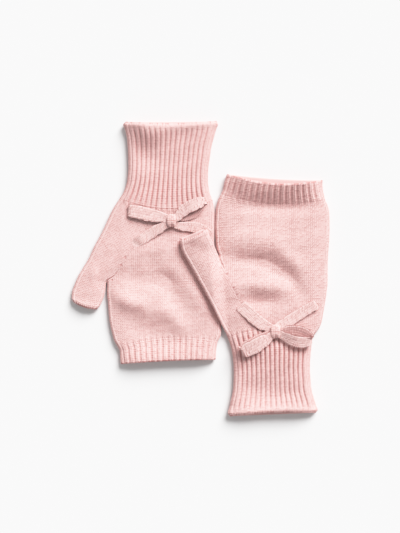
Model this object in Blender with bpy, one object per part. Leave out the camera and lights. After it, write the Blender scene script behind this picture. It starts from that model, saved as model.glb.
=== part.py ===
"""A pair of knitted fingerless mittens with bows at the wrist, laid flat, one thumb over the other mitten.

+X runs to the right, +Y from the hem of one cuff up to the rim of the other, +Z up from the surface.
The origin is under the middle of the pair. The tables are in millimetres; the meshes are in metres.
"""
import math

import bmesh
import bpy
from mathutils import Vector

MM = 0.001
COLLECTION = "fingerless_mittens"

# ---------------------------------------------------------------- driving dimensions, in millimetres
GAP = 0.3               # between pieces that meet at a seam
WALL = 2.0              # thickness of the knitted cloth between ribs
RIB_RISE = 1.0          # how far a rib stands proud of the wall
CROWN_REACH = 16.0      # how far in from a side fold the cloth is fully crowned
STRAP = 1.6             # thickness of the bows' flat cord
CENTRE_X = 0.2          # middle of the pair in the tables' own frame
CENTRE_Y = -0.85
CUFF_RIBS = {"left": 16, "right": 15}
BAND_RIBS = 16
THUMB_SHARE = 0.39      # share of the wrist seam that the thumb gusset takes

# One rib across: how high each quarter of it stands, from the valley on.
RIB_PROFILE = (0.0, 0.85, 1.0, 0.85)

# Steps round a piece: each side fold, the upper panel, the under panel.
HAND_STEPS = (3, 14, 4)
THUMB_STEPS = (3, 8, 8)
UNDER_STEPS = 4         # of a cuff or a band
ROW_STEPS = 2           # sections made for each row of a hand's and a gusset's tables
CREASE = 50.0           # degrees, from which an edge is shaded sharp

# ---------------------------------------------------------------- sections across each piece
# A section runs from a left point to a right point. dip and under push the middle of its top and its
# under panel towards -Y, edge is the height of the side folds, crown is what the middle adds to it,
# rib is the share of the ribs' rise and swell an even rise of the outer face, as on a rolled rim.
SECTION = ("x_left", "y_left", "x_right", "y_right", "dip", "under", "edge", "crown", "rib", "swell")

LEFT_WRIST = (-71.0, 61.1, 10.8, 59.2, 8.4, 8.4, 5.6, 2.0, 0.7, 0.0)
RIGHT_WRIST = (23.9, -61.0, 98.5, -60.5, -7.6, -7.6, 5.6, 2.0, 0.7, 0.0)
LEFT_KNUCKLES = (-72.8, -69.3, 15.3, -64.0, -5.6, -5.6, 5.6, 2.0, 0.6, 0.0)
RIGHT_KNUCKLES = (18.0, 64.9, 109.6, 60.2, 6.2, 0.4, 5.6, 1.9, 0.6, 0.0)

CUFF_TABLES = {
    "left": (
        (-66.6, 127.6, 14.4, 128.2, 2.4, 0.4, 7.4, 3.6, 0.0, 0.0),
        (-67.1, 126.4, 14.8, 127.0, 2.4, 0.4, 7.4, 3.6, 0.0, 0.7),
        (-67.0, 124.9, 14.7, 125.4, 2.4, 0.4, 7.3, 3.5, 0.1, 0.75),
        (-66.6, 123.1, 14.3, 123.5, 2.2, 0.4, 7.2, 3.3, 0.5, 0.3),
        (-66.1, 121.0, 13.8, 121.3, 2.0, 0.4, 7.0, 3.0, 0.9, 0.0),
        (-65.0, 116.0, 12.4, 116.2, 1.4, 0.4, 7.0, 2.0, 1.0, 0.0),
        (-64.1, 109.0, 10.3, 109.1, 0.8, 0.4, 6.8, 1.4, 1.0, 0.0),
        (-63.6, 98.0, 8.5, 98.0, 0.4, 0.4, 6.6, 1.1, 1.0, 0.0),
        (-63.6, 85.0, 6.9, 85.0, 0.4, 0.4, 6.4, 1.1, 1.0, 0.0),
        (-65.0, 74.0, 6.9, 74.0, 2.0, 2.0, 6.1, 1.3, 1.0, 0.0),
        (-67.7, 66.4, 8.3, 66.0, 5.0, 5.0, 5.8, 1.7, 1.0, 0.0),
    ),
    "right": (
        (25.2, -129.3, 101.6, -126.2, -2.2, 0.0, 7.4, 3.2, 0.0, 0.0),
        (24.7, -128.1, 102.2, -125.1, -2.2, 0.0, 7.4, 3.2, 0.0, 0.7),
        (24.6, -126.5, 102.4, -123.8, -2.1, 0.0, 7.3, 3.1, 0.1, 0.75),
        (24.7, -124.7, 102.2, -122.4, -1.9, 0.0, 7.2, 3.0, 0.5, 0.3),
        (25.2, -122.4, 101.8, -120.9, -1.6, 0.0, 7.0, 2.8, 0.9, 0.0),
        (26.4, -116.8, 100.6, -116.4, -0.9, 0.0, 7.0, 2.0, 1.0, 0.0),
        (28.1, -109.2, 98.2, -109.2, -0.3, 0.0, 6.8, 1.6, 1.0, 0.0),
        (29.0, -98.2, 96.9, -98.2, 0.0, 0.0, 6.6, 1.3, 1.0, 0.0),
        (28.9, -84.2, 96.3, -84.2, 0.0, 0.0, 6.4, 1.2, 1.0, 0.0),
        (27.6, -73.0, 97.2, -73.0, -2.0, -2.0, 6.1, 1.4, 1.0, 0.0),
        (25.7, -66.0, 98.0, -65.6, -4.8, -4.8, 5.8, 1.7, 1.0, 0.0),
    ),
}

BAND_TABLES = {
    "left": (
        (-71.2, -72.4, 14.3, -68.6, -4.0, -4.0, 5.6, 2.4, 0.9, 0.0),
        (-70.8, -76.4, 13.9, -72.8, -2.4, -2.0, 5.9, 3.0, 1.0, 0.0),
        (-70.5, -80.6, 13.7, -77.0, -1.2, -0.8, 6.4, 3.4, 1.0, 0.0),
        (-70.3, -83.3, 13.6, -79.5, -1.0, -0.6, 6.6, 3.5, 0.7, 0.0),
    ),
    "right": (
        (19.9, 69.0, 108.3, 65.6, 6.4, 0.6, 5.9, 3.2, 0.9, 0.0),
        (20.7, 73.7, 107.6, 70.4, 6.4, 0.9, 6.6, 4.8, 1.0, 0.0),
        (22.0, 78.5, 107.3, 74.2, 6.2, 1.2, 7.2, 6.3, 1.0, 0.0),
        (23.2, 81.6, 107.0, 76.3, 6.0, 1.4, 7.4, 7.0, 0.7, 0.4),
    ),
}

# The line where the thumb gusset meets the hand, from the wrist to the fork between thumb and fingers.
# open is how far the two panels still stand apart there: 1 over the palm, near 0 at the fork.
GUSSET = ("x", "y", "open")
GUSSET_TABLES = {
    "left": (
        (-44.7, 40.8, 1.0),
        (-52.2, 28.5, 1.0),
        (-59.2, 17.5, 1.0),
        (-64.5, 9.6, 1.0),
        (-70.6, 0.4, 0.85),
        (-76.7, -7.5, 0.45),
        (-82.2, -11.9, 0.06),
    ),
    "right": (
        (45.2, -46.9, 1.0),
        (38.1, -34.6, 1.0),
        (32.2, -23.5, 1.0),
        (26.7, -12.7, 1.0),
        (22.6, -3.9, 0.85),
        (18.9, 3.1, 0.45),
        (16.4, 9.4, 0.06),
    ),
}

# The hand's outer side across from the gusset, one row for each point of the gusset line.
HAND_SIDE = ("x", "y", "dip")
HAND_SIDE_TABLES = {
    "left": (
        (12.2, 49.1, 2.0),
        (12.2, 35.1, 1.0),
        (12.0, 21.9, 0.5),
        (12.3, 10.5, 0.0),
        (13.4, 0.0, 0.0),
        (14.5, -8.8, 0.0),
        (15.3, -16.7, 0.0),
    ),
    "right": (
        (104.8, -51.7, -2.0),
        (108.1, -38.6, -1.0),
        (110.5, -24.6, 0.0),
        (111.8, -13.2, 0.0),
        (111.9, -2.6, 0.0),
        (112.0, 5.3, 0.0),
        (112.4, 13.2, 0.4),
    ),
}

# The hand from the fork on to the finger band, folded on both sides.
HAND_TABLES = {
    "left": (
        (-82.1, -12.8, 15.4, -17.6, 0.0, 0.0, 5.4, 2.2, 0.0, 0.0),
        (-82.1, -21.0, 16.0, -24.6, 0.0, 0.0, 5.4, 2.2, 0.0, 0.0),
        (-81.1, -34.2, 17.1, -35.1, 0.0, 0.0, 5.4, 2.2, 0.0, 0.0),
        (-80.0, -46.5, 17.8, -45.6, -1.4, -1.4, 5.4, 2.2, 0.0, 0.0),
        (-77.8, -57.0, 18.2, -54.4, -3.0, -3.0, 5.4, 2.1, 0.0, 0.0),
        (-75.4, -64.9, 17.4, -60.4, -4.6, -4.6, 5.5, 2.0, 0.0, 0.0),
    ),
    "right": (
        (16.5, 10.3, 112.5, 14.2, 0.4, 0.0, 5.4, 2.2, 0.0, 0.0),
        (14.3, 16.7, 113.1, 21.9, 0.8, 0.0, 5.4, 2.2, 0.0, 0.0),
        (13.0, 28.9, 113.6, 33.3, 1.8, 0.0, 5.4, 2.2, 0.0, 0.0),
        (12.9, 42.1, 113.5, 43.9, 3.4, 0.0, 5.4, 2.2, 0.0, 0.0),
        (13.9, 53.5, 112.7, 52.6, 5.0, 0.2, 5.5, 2.2, 0.0, 0.0),
        (15.7, 60.2, 110.9, 57.4, 6.0, 0.4, 5.6, 1.9, 0.0, 0.0),
    ),
}

# The gusset's outer side, one row for each point of the gusset line, then the free thumb to its end.
THUMB_SIDE = ("x", "y")
THUMB_SIDE_TABLES = {
    "left": (
        (-76.7, 52.2), (-82.4, 40.3), (-88.1, 28.5), (-93.4, 18.9),
        (-98.0, 8.8), (-103.5, -0.4), (-107.9, -7.9),
    ),
    "right": (
        (18.9, -50.9), (13.6, -39.9), (7.9, -28.9), (2.6, -18.9),
        (-2.6, -9.6), (-6.8, -1.8), (-10.3, 4.4),
    ),
}
THUMB_TABLES = {
    "left": (
        (-108.2, -8.7, -82.6, -12.8, 0.1, 0.1, 5.4, 2.15, 0.0, 0.0),
        (-110.8, -14.9, -83.9, -20.6, 0.4, 0.4, 5.3, 1.9, 0.0, 0.0),
        (-112.9, -21.2, -85.5, -27.0, 0.8, 0.8, 5.4, 1.8, 0.0, 0.0),
        (-113.2, -25.2, -87.5, -31.4, 1.4, 1.0, 5.8, 2.0, 0.0, 0.0),
        (-112.7, -27.2, -89.3, -34.0, 1.7, 1.2, 6.0, 2.2, 0.0, 0.3),
        (-112.2, -28.5, -90.3, -35.3, 1.8, 1.2, 6.0, 2.2, 0.0, 0.0),
    ),
    "right": (
        (-10.7, 5.2, 16.0, 10.3, 0.2, 0.0, 5.4, 2.15, 0.0, 0.0),
        (-13.8, 10.5, 13.0, 17.1, 0.6, 0.0, 5.3, 1.9, 0.0, 0.0),
        (-16.2, 15.3, 9.6, 24.6, 1.2, 0.0, 5.4, 1.8, 0.0, 0.0),
        (-17.4, 19.9, 7.3, 29.6, 2.0, 0.0, 5.8, 2.0, 0.0, 0.0),
        (-17.6, 23.1, 6.0, 32.6, 2.4, 0.0, 6.0, 2.2, 0.0, 0.3),
        (-17.6, 24.6, 5.4, 33.9, 2.5, 0.0, 6.0, 2.2, 0.0, 0.0),
    ),
}
PALM_EDGE = 5.4
PALM_CROWN = 2.2

# Soft ridges (rise over 0) and troughs (under 0) of the upper panels.
FOLD = ("x", "y", "heading", "length", "breadth", "rise")
FOLD_EASE = 2.5         # a trough eases off from this depth
FOLD_REST = 0.7         # and goes at most this much deeper, so that the panels stay apart
FOLD_TABLES = {
    "left": (
        (-46.0, 16.5, 6.0, 26.0, 8.0, 1.3),
        (-47.0, -10.5, -4.0, 27.0, 8.0, -2.9),
        (-64.0, -29.5, -16.0, 26.0, 8.0, 3.1),
        (-48.0, -54.0, -18.0, 28.0, 10.0, -2.4),
        (-50.0, -66.0, 0.0, 32.0, 9.0, -1.0),
        (-24.0, -44.0, -48.0, 19.0, 7.0, 2.0),
        (-6.0, -22.0, -54.0, 27.0, 8.0, 1.7),
        (-28.0, -17.0, -54.0, 24.0, 8.0, -2.3),
        (-96.0, -2.0, -62.0, 22.0, 6.0, 1.2),
        (-47.0, 121.0, 0.0, 17.0, 11.0, 4.4),
        (-50.0, 97.0, 0.0, 16.0, 10.0, -2.4),
    ),
    "right": (
        (64.0, 53.5, 0.0, 30.0, 6.5, -2.9),
        (53.0, 24.0, 0.0, 30.0, 11.0, 3.1),
        (78.0, 8.0, -38.0, 16.0, 7.0, 2.2),
        (45.0, 6.0, -4.0, 20.0, 6.5, -3.4),
        (66.0, -2.5, -32.0, 14.0, 7.0, -2.9),
        (82.0, -14.0, -58.0, 15.0, 6.5, -2.6),
        (52.0, -15.5, -4.0, 23.0, 6.5, 3.0),
        (50.0, -30.0, 2.0, 20.0, 6.5, -3.1),
        (31.0, -26.0, -62.0, 24.0, 10.0, 2.2),
        (10.0, -20.0, -62.0, 26.0, 6.0, 0.8),
        (62.0, -74.0, 0.0, 32.0, 12.0, 2.0),
        (58.0, -109.0, 0.0, 36.0, 10.5, -3.0),
    ),
}

# ---------------------------------------------------------------- the thumb that lies on the other mitten
RAMP_OUT = 7.0          # the cloth starts to climb this far outside the mitten below
RAMP = 13.0             # and is wholly on top of it this far on
REST = 0.5              # kept between the two mittens
HAND_LIFT_TOP = 16.7    # the hand's own edge is down on the surface from here up
HAND_LIFT_FULL = 9.4
TAIL_UNDER = (6.0, 33.0, 15.0, 3.2)     # x, y, reach and rise where a bow's tail lies under the thumb

# ---------------------------------------------------------------- bows
# A strap's row gives its middle in plan, its middle's height over the mitten, its width, the heading in
# plan of its width and how steeply the width leans up.
STRAP_ROW = ("x", "y", "lift", "width", "turn", "lean")
STRAP_TABLES = {
    "left_bow_loop_a": (
        (-30.4, 43.4, 3.3, 5.0, 84.0, 0.0),
        (-38.0, 45.2, 3.4, 10.0, 82.0, -2.0),
        (-47.5, 47.4, 3.4, 11.2, 81.0, -2.0),
        (-56.0, 49.1, 3.2, 11.0, 85.0, -2.0),
        (-61.6, 50.0, 2.9, 10.4, 90.0, 0.0),
        (-63.0, 50.2, 2.2, 10.0, 90.0, 0.0),
        (-61.0, 50.0, 1.4, 9.4, 88.0, 0.0),
        (-53.0, 49.4, 1.3, 8.8, 84.0, 0.0),
        (-42.0, 47.2, 1.2, 7.4, 82.0, 0.0),
        (-30.4, 44.6, 1.3, 5.0, 84.0, 0.0),
    ),
    "left_bow_loop_b": (
        (-20.6, 44.4, 3.6, 5.0, 120.0, -5.0),
        (-14.3, 50.8, 3.9, 9.2, 119.0, -7.0),
        (-6.6, 55.2, 4.0, 10.0, 110.0, -8.0),
        (0.6, 57.8, 3.6, 8.6, 106.0, -4.0),
        (3.3, 58.2, 2.6, 6.8, 108.0, 0.0),
        (1.0, 55.6, 1.6, 6.4, 110.0, 0.0),
        (-5.0, 49.2, 1.3, 8.4, 112.0, 3.0),
        (-12.6, 45.2, 1.3, 7.4, 116.0, 3.0),
        (-20.6, 43.2, 1.3, 5.0, 112.0, 0.0),
    ),
    "left_bow_tail_a": (
        (-30.0, 38.3, 2.7, 5.0, 118.0, 0.0),
        (-37.0, 34.2, 2.1, 8.2, 120.0, 0.0),
        (-45.5, 28.8, 1.3, 8.6, 121.0, 0.0),
        (-53.4, 23.8, 1.5, 8.6, 123.0, 0.0),
        (-59.8, 20.0, 1.4, 8.2, 126.0, 0.0),
    ),
    "left_bow_tail_b": (
        (-20.8, 37.4, 2.1, 5.0, 86.0, 0.0),
        (-14.5, 36.6, 1.6, 7.6, 86.0, 0.0),
        (-7.5, 35.9, 1.3, 9.0, 82.0, 0.0),
        (-0.5, 34.4, 1.2, 8.8, 70.0, 0.0),
        (5.0, 31.6, 1.2, 8.2, 56.0, 0.0),
        (8.2, 28.8, 1.2, 7.4, 46.0, 0.0),
    ),
    "right_bow_loop_a": (
        (60.2, -57.8, 1.9, 5.0, 122.0, 5.0),
        (53.2, -61.8, 2.1, 9.4, 120.0, 7.0),
        (45.4, -66.4, 2.2, 10.6, 120.0, 9.0),
        (39.0, -70.2, 2.4, 10.6, 121.0, 8.0),
        (36.0, -72.2, 3.1, 7.8, 122.0, 6.0),
        (36.6, -72.8, 4.1, 8.6, 122.0, 6.0),
        (40.4, -71.4, 4.5, 11.4, 121.0, 8.0),
        (46.4, -68.6, 4.6, 11.8, 119.0, 10.0),
        (54.0, -64.2, 4.4, 10.8, 118.0, 9.0),
        (60.6, -60.4, 3.7, 5.0, 120.0, 5.0),
    ),
    "right_bow_loop_b": (
        (70.4, -56.4, 2.0, 5.0, 100.0, 6.0),
        (76.8, -55.4, 2.3, 9.4, 97.0, 11.0),
        (84.2, -55.6, 2.4, 10.4, 92.0, 13.0),
        (91.0, -57.8, 2.4, 10.2, 85.0, 12.0),
        (95.4, -60.6, 2.7, 7.8, 82.0, 10.0),
        (96.6, -62.4, 3.5, 7.0, 82.0, 9.0),
        (95.4, -63.6, 4.3, 7.8, 86.0, 10.0),
        (91.0, -64.8, 4.6, 9.4, 93.0, 10.0),
        (84.6, -64.6, 4.7, 9.6, 100.0, 11.0),
        (77.4, -61.8, 4.4, 8.8, 106.0, 10.0),
        (70.4, -58.6, 3.7, 5.0, 110.0, 5.0),
    ),
    "right_bow_tail_a": (
        (60.4, -52.2, 2.6, 5.0, 50.0, 0.0),
        (53.4, -48.8, 2.2, 9.8, 48.0, 0.0),
        (46.0, -42.6, 1.6, 10.6, 47.0, 0.0),
        (39.6, -36.6, 1.6, 10.6, 45.0, 0.0),
        (34.8, -32.0, 1.8, 10.8, 38.0, 0.0),
    ),
    "right_bow_tail_b": (
        (69.8, -50.8, 2.6, 5.0, 122.0, 0.0),
        (76.6, -46.8, 2.2, 9.2, 120.0, 0.0),
        (85.0, -41.6, 1.7, 9.2, 120.0, 0.0),
        (93.8, -36.2, 1.5, 8.8, 121.0, 0.0),
        (101.8, -31.6, 1.3, 8.4, 124.0, 0.0),
    ),
}
STRAP_STEPS = 2         # sections made for each row of a strap

# Round a strap's section: shares of half its width, and of its thickness.
STRAP_OUTLINE = (
    (-1.0, 0.25), (-0.82, 0.5), (0.82, 0.5), (1.0, 0.25),
    (1.0, -0.25), (0.82, -0.5), (-0.82, -0.5), (-1.0, -0.25),
)

KNOT = ("x", "y", "wide", "deep", "high")
KNOTS = {
    "left": (-25.5, 41.4, 8.4, 11.0, 5.8),
    "right": (65.3, -55.6, 8.8, 11.6, 6.0),
}
KNOT_SQUARE = 0.75      # power that squares a ball into the knot's block
KNOT_SEGMENTS = 16
KNOT_RINGS = 10
KNOT_CLEAR = 0.4        # kept under a knot
CUFF_CLEAR = 1.2        # the ribs lift a bow this much where it lies on a cuff
WRIST_LINES = {"left": (52.0, 1.0), "right": (-53.5, -1.0)}     # y of the seam, and the cuff's side of it
WRIST_FADE = 5.0        # over which the bow comes up on to the ribs

# ---------------------------------------------------------------- colours: base colour, roughness
YARN = {
    "hand": ((0.80, 0.56, 0.54), 0.92),
    "thumb": ((0.80, 0.56, 0.54), 0.92),
    "cuff": ((0.78, 0.53, 0.52), 0.92),
    "band": ((0.80, 0.55, 0.53), 0.92),
    "bow": ((0.84, 0.62, 0.59), 0.90),
}


# ---------------------------------------------------------------- small helpers
def named(columns, values):
    """One table row, as a dictionary."""
    return dict(zip(columns, values))


def smooth(t):
    """0 to 1, flat at both ends."""
    t = min(max(t, 0.0), 1.0)
    return t * t * (3.0 - 2.0 * t)


def crowned(distance):
    """How much of its crown the cloth has at this distance from a side fold."""
    t = min(max(distance / CROWN_REACH, 0.0), 1.0)
    return 1.0 - (1.0 - t) ** 2


def fold_height(side, x, y):
    """Height that the soft ridges and troughs add at a place."""
    height = 0.0
    for values in FOLD_TABLES[side]:
        fold = named(FOLD, values)
        angle = math.radians(fold["heading"])
        dx = x - fold["x"]
        dy = y - fold["y"]
        run = dx * math.cos(angle) + dy * math.sin(angle)
        across = dy * math.cos(angle) - dx * math.sin(angle)
        height += fold["rise"] * math.exp(-(run / fold["length"]) ** 2 - (across / fold["breadth"]) ** 2)
    if height < -FOLD_EASE:
        height = -FOLD_EASE - FOLD_REST * (1.0 - math.exp((height + FOLD_EASE) / FOLD_REST))
    return height


def left_mitten_edge(y):
    """x of the left mitten's outer side at y, under the other mitten's thumb."""
    side = [(row[1], row[0]) for row in HAND_SIDE_TABLES["left"]]
    side += [(row[3], row[2]) for row in HAND_TABLES["left"]]
    side.sort()
    if y <= side[0][0]:
        return side[0][1]
    for (y0, x0), (y1, x1) in zip(side, side[1:]):
        if y <= y1:
            return x0 + (x1 - x0) * (y - y0) / (y1 - y0)
    return side[-1][1]


def thumb_lift(x, y):
    """Height of the right thumb's underside, which climbs on to the left mitten and over its bow's tail."""
    inside = left_mitten_edge(y) - x
    top = PALM_EDGE + PALM_CROWN + fold_height("left", x, y) + REST
    tail_x, tail_y, reach, rise = TAIL_UNDER
    away = math.hypot(x - tail_x, y - tail_y) / reach
    return top * smooth((inside + RAMP_OUT) / RAMP) + rise * math.exp(-away ** 4)


def hand_lift(x, y):
    """Height of the right hand's underside: only its corner at the fork of the thumb is off the surface."""
    return thumb_lift(x, y) * smooth((HAND_LIFT_TOP - y) / (HAND_LIFT_TOP - HAND_LIFT_FULL))


def flat_on_surface(x, y):
    """Height of the underside of a piece that lies on the surface."""
    return 0.0


# ---------------------------------------------------------------- sections
def between(rows, steps):
    """Rows of a table with more rows put between them on a smooth curve through the given ones."""
    made = []
    last = len(rows) - 1
    for k in range(last):
        a, b, c, d = (rows[min(max(k + n, 0), last)] for n in (-1, 0, 1, 2))
        for step in range(steps):
            t = step / steps
            made.append(tuple(
                q + 0.5 * t * (r - p + t * (2 * p - 5 * q + 4 * r - s + t * (3 * (q - r) + s - p)))
                for p, q, r, s in zip(a, b, c, d)
            ))
    made.append(rows[last])
    return made


def gusset_rows(side, outer_tables):
    """The gusset line's rows, each with its row of the outer side across from it."""
    line = between(GUSSET_TABLES[side], ROW_STEPS)
    return zip(line, between(outer_tables[side], ROW_STEPS))


def shifted(values, step):
    """A section moved by a step along +Y."""
    row = list(values)
    row[SECTION.index("y_left")] += step
    row[SECTION.index("y_right")] += step
    return tuple(row)


def part_of(values, start, end):
    """The stretch of a section between two shares of its width, with the curve that the whole one has."""
    row = named(SECTION, values)
    ends = []
    for share in (start, end):
        bend = 4.0 * share * (1.0 - share) * row["dip"]
        ends.append((
            row["x_left"] + (row["x_right"] - row["x_left"]) * share,
            row["y_left"] + (row["y_right"] - row["y_left"]) * share - bend,
        ))
    dip = row["dip"] * (end - start) ** 2
    return (*ends[0], *ends[1], dip, dip, row["edge"], row["crown"], 0.0, 0.0)


def seam_share(values):
    """Half a seam's gap as a share of a section's width."""
    row = named(SECTION, values)
    return GAP / 2.0 / (row["x_right"] - row["x_left"])


def plan_place(row, share, under):
    """Place in plan at a share of a section's width, on its top or its under panel."""
    dip = row["under"] if under else row["dip"]
    x = row["x_left"] + (row["x_right"] - row["x_left"]) * share
    y = row["y_left"] + (row["y_right"] - row["y_left"]) * share - 4.0 * share * (1.0 - share) * dip
    return x, y


def plain_stations(arcs, tops, unders):
    """Stations round a plain tube: left fold from below, top, right fold, under panel."""
    angles = [-90.0 + 180.0 * (k + 1) / (arcs + 1) for k in range(arcs)]
    stations = [("left", a, 0.0, True) for a in angles]
    stations += [("top", k / tops, 0.0, True) for k in range(tops + 1)]
    stations += [("right", a, 0.0, True) for a in reversed(angles)]
    stations += [("under", 1.0 - k / unders, 0.0, True) for k in range(unders + 1)]
    return stations


def ribbed_stations(ribs, unders):
    """Stations round a ribbed tube. The inner wall is plain, so only the valleys have a station there."""
    quarter = len(RIB_PROFILE)
    low = [("left", -60.0, 0.0, True), ("left", -30.0, 0.0, True)]
    left = [("left", 90.0 * k / quarter, RIB_PROFILE[k], k == 0) for k in range(quarter)]
    flat = (ribs - 2) * quarter
    top = [("top", k / flat, RIB_PROFILE[k % quarter], k % quarter == 0) for k in range(flat + 1)]
    mirrored = [("right", angle, rise, inner) for _, angle, rise, inner in reversed(low + left)]
    under = [("under", 1.0 - k / unders, 0.0, True) for k in range(unders + 1)]
    return low + left + top + mirrored + under


def section_point(row, station, inset, piece):
    """A point of a section's outer face, or of its inner face when inset is the wall's thickness."""
    kind, value, rise, _ = station
    width = math.hypot(row["x_right"] - row["x_left"], row["y_right"] - row["y_left"])
    half = row["edge"] / 2.0
    raised = 0.0 if inset else rise * row["rib"] * RIB_RISE + row["swell"]
    radius = half - inset + raised
    start = 0.0 if row["open_left"] is not None else half
    end = 0.0 if row["open_right"] is not None else half
    if kind in ("left", "right"):
        angle = math.radians(value)
        run = half - radius * math.cos(angle)
        run = run if kind == "left" else width - run
        x, y = plan_place(row, run / width, value < 0.0)
        z = half + radius * math.sin(angle)
        z = max(z, inset)
    elif kind == "under":
        run = start + value * (width - start - end)
        x, y = plan_place(row, run / width, True)
        z = inset
    else:
        run = start + value * (width - start - end)
        x, y = plan_place(row, run / width, False)
        fill = 1.0
        for gap, open_share in ((run, row["open_left"]), (width - run, row["open_right"])):
            share = 0.0 if open_share is None else open_share
            fill *= share + (1.0 - share) * crowned(gap - half)
        folds = fold_height(piece["side"], x, y) * piece["folded"]
        z = row["edge"] + (row["crown"] + folds) * fill - inset + raised
    lift = piece["lift"](x, y)
    return Vector((x - CENTRE_X, y - CENTRE_Y, z + lift)) * MM


def with_opening(values, open_left=None, open_right=None):
    """A section as a dictionary, open on one side by the share given, or folded on both."""
    row = named(SECTION, values)
    row["open_left"] = open_left
    row["open_right"] = open_right
    return row


# ---------------------------------------------------------------- meshes
def material(name, look):
    """The piece's yarn."""
    colour, roughness = YARN[look]
    made = bpy.data.materials.new(name + "_yarn")
    made.use_nodes = True
    shader = made.node_tree.nodes["Principled BSDF"]
    shader.inputs["Base Color"].default_value = (*colour, 1.0)
    shader.inputs["Roughness"].default_value = roughness
    shader.inputs["Metallic"].default_value = 0.0
    return made


def add_object(name, look, mesh, collection):
    """Link a finished bmesh as one named object, shaded smooth but for its sharp edges."""
    bmesh.ops.delete(mesh, geom=[v for v in mesh.verts if not v.link_faces], context="VERTS")
    bmesh.ops.recalc_face_normals(mesh, faces=mesh.faces)
    data = bpy.data.meshes.new(name)
    mesh.to_mesh(data)
    mesh.free()
    data.shade_smooth()
    data.set_sharp_from_angle(angle=math.radians(CREASE))
    data.materials.append(material(name, look))
    made = bpy.data.objects.new(name, data)
    collection.objects.link(made)
    return made


def wall_mesh(rows, stations, piece):
    """A wall of cloth through its sections: outer face, inner face, and its edges closed."""
    mesh = bmesh.new()
    outer = [[mesh.verts.new(section_point(row, s, 0.0, piece)) for s in stations] for row in rows]
    inner = [[mesh.verts.new(section_point(row, s, WALL, piece)) for s in stations] for row in rows]
    columns = [k for k, station in enumerate(stations) if station[3]]
    spans = list(zip(columns, columns[1:] + [columns[0] + len(stations)]))

    def present(j, k):
        """Whether the cloth spans section j to the next between two inner columns."""
        if not 0 <= j < len(rows) - 1:
            return False
        kinds = {stations[c % len(stations)][0] for c in spans[k % len(spans)]}
        for kind in ("left", "right"):
            if kind in kinds and any(r["open_" + kind] is not None for r in rows[j:j + 2]):
                return False
        return True

    count = len(stations)
    for k, (first, last) in enumerate(spans):
        cells = [c % count for c in range(first, last + 1)]
        for j in range(len(rows) - 1):
            if not present(j, k):
                continue
            for a, b in zip(cells, cells[1:]):
                mesh.faces.new((outer[j][a], outer[j][b], outer[j + 1][b], outer[j + 1][a]))
            a, b = cells[0], cells[-1]
            mesh.faces.new((inner[j][b], inner[j][a], inner[j + 1][a], inner[j + 1][b]))
        for j in range(len(rows)):
            if present(j, k) != present(j - 1, k):
                rim = [outer[j][c] for c in cells] + [inner[j][cells[-1]], inner[j][cells[0]]]
                mesh.faces.new(rim if present(j, k) else rim[::-1])
        for j in range(len(rows) - 1):
            if present(j, k) != present(j, k - 1):
                c = cells[0]
                side = [outer[j][c], outer[j + 1][c], inner[j + 1][c], inner[j][c]]
                mesh.faces.new(side if present(j, k) else side[::-1])
    return mesh


def add_wall(name, look, rows, stations, piece, collection):
    """One cloth piece."""
    return add_object(name, look, wall_mesh(rows, stations, piece), collection)


def surface_height(side, x, y):
    """Height of a mitten's upper face under its bow."""
    seam, cuff_side = WRIST_LINES[side]
    on_cuff = smooth(0.5 + (y - seam) * cuff_side / WRIST_FADE)
    return PALM_EDGE + PALM_CROWN + fold_height(side, x, y) + CUFF_CLEAR * on_cuff


def strap_mesh(side, rows):
    """A flat cord through its rows, with rounded edges and closed ends."""
    table = [named(STRAP_ROW, values) for values in rows]
    middles = [
        Vector((r["x"], r["y"], surface_height(side, r["x"], r["y"]) + r["lift"])) for r in table
    ]
    mesh = bmesh.new()
    rings = []
    for k, row in enumerate(table):
        ahead = (middles[min(k + 1, len(table) - 1)] - middles[max(k - 1, 0)]).normalized()
        turn = math.radians(row["turn"])
        lean = math.radians(row["lean"])
        wide = Vector((math.cos(turn) * math.cos(lean), math.sin(turn) * math.cos(lean), math.sin(lean)))
        wide = (wide - ahead * wide.dot(ahead)).normalized()
        thick = ahead.cross(wide)
        half = row["width"] / 2.0
        ring = []
        for across, up in STRAP_OUTLINE:
            place = middles[k] + wide * (across * half) + thick * (up * STRAP)
            place = place - Vector((CENTRE_X, CENTRE_Y, 0.0))
            ring.append(mesh.verts.new(place * MM))
        rings.append(ring)
    for near, far in zip(rings, rings[1:]):
        for k in range(len(near)):
            n = (k + 1) % len(near)
            mesh.faces.new((near[k], near[n], far[n], far[k]))
    mesh.faces.new(rings[0][::-1])
    mesh.faces.new(rings[-1])
    return mesh


def add_knot(side, collection):
    """The wound middle of a bow, a rounded block with its grain across the straps."""
    knot = named(KNOT, KNOTS[side])
    mesh = bmesh.new()
    bmesh.ops.create_uvsphere(mesh, u_segments=KNOT_SEGMENTS, v_segments=KNOT_RINGS, radius=1.0)
    base = surface_height(side, knot["x"], knot["y"]) + KNOT_CLEAR
    for vert in mesh.verts:
        block = [math.copysign(abs(c) ** KNOT_SQUARE, c) for c in vert.co]
        vert.co = Vector((
            knot["x"] - CENTRE_X + block[0] * knot["wide"] / 2.0,
            knot["y"] - CENTRE_Y + block[1] * knot["deep"] / 2.0,
            base + (block[2] + 1.0) * knot["high"] / 2.0,
        )) * MM
    add_object(side + "_bow_knot", "bow", mesh, collection)


# ---------------------------------------------------------------- the pieces of one mitten
def add_cuff(side, collection):
    """The ribbed wrist, from its rolled rim to the wrist seam."""
    wrist = {"left": shifted(LEFT_WRIST, GAP / 2.0), "right": shifted(RIGHT_WRIST, -GAP / 2.0)}[side]
    rows = [with_opening(values) for values in CUFF_TABLES[side] + (wrist,)]
    piece = {"side": side, "folded": 1.0, "lift": flat_on_surface}
    add_wall(side + "_cuff", "cuff", rows, ribbed_stations(CUFF_RIBS[side], UNDER_STEPS), piece, collection)


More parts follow.
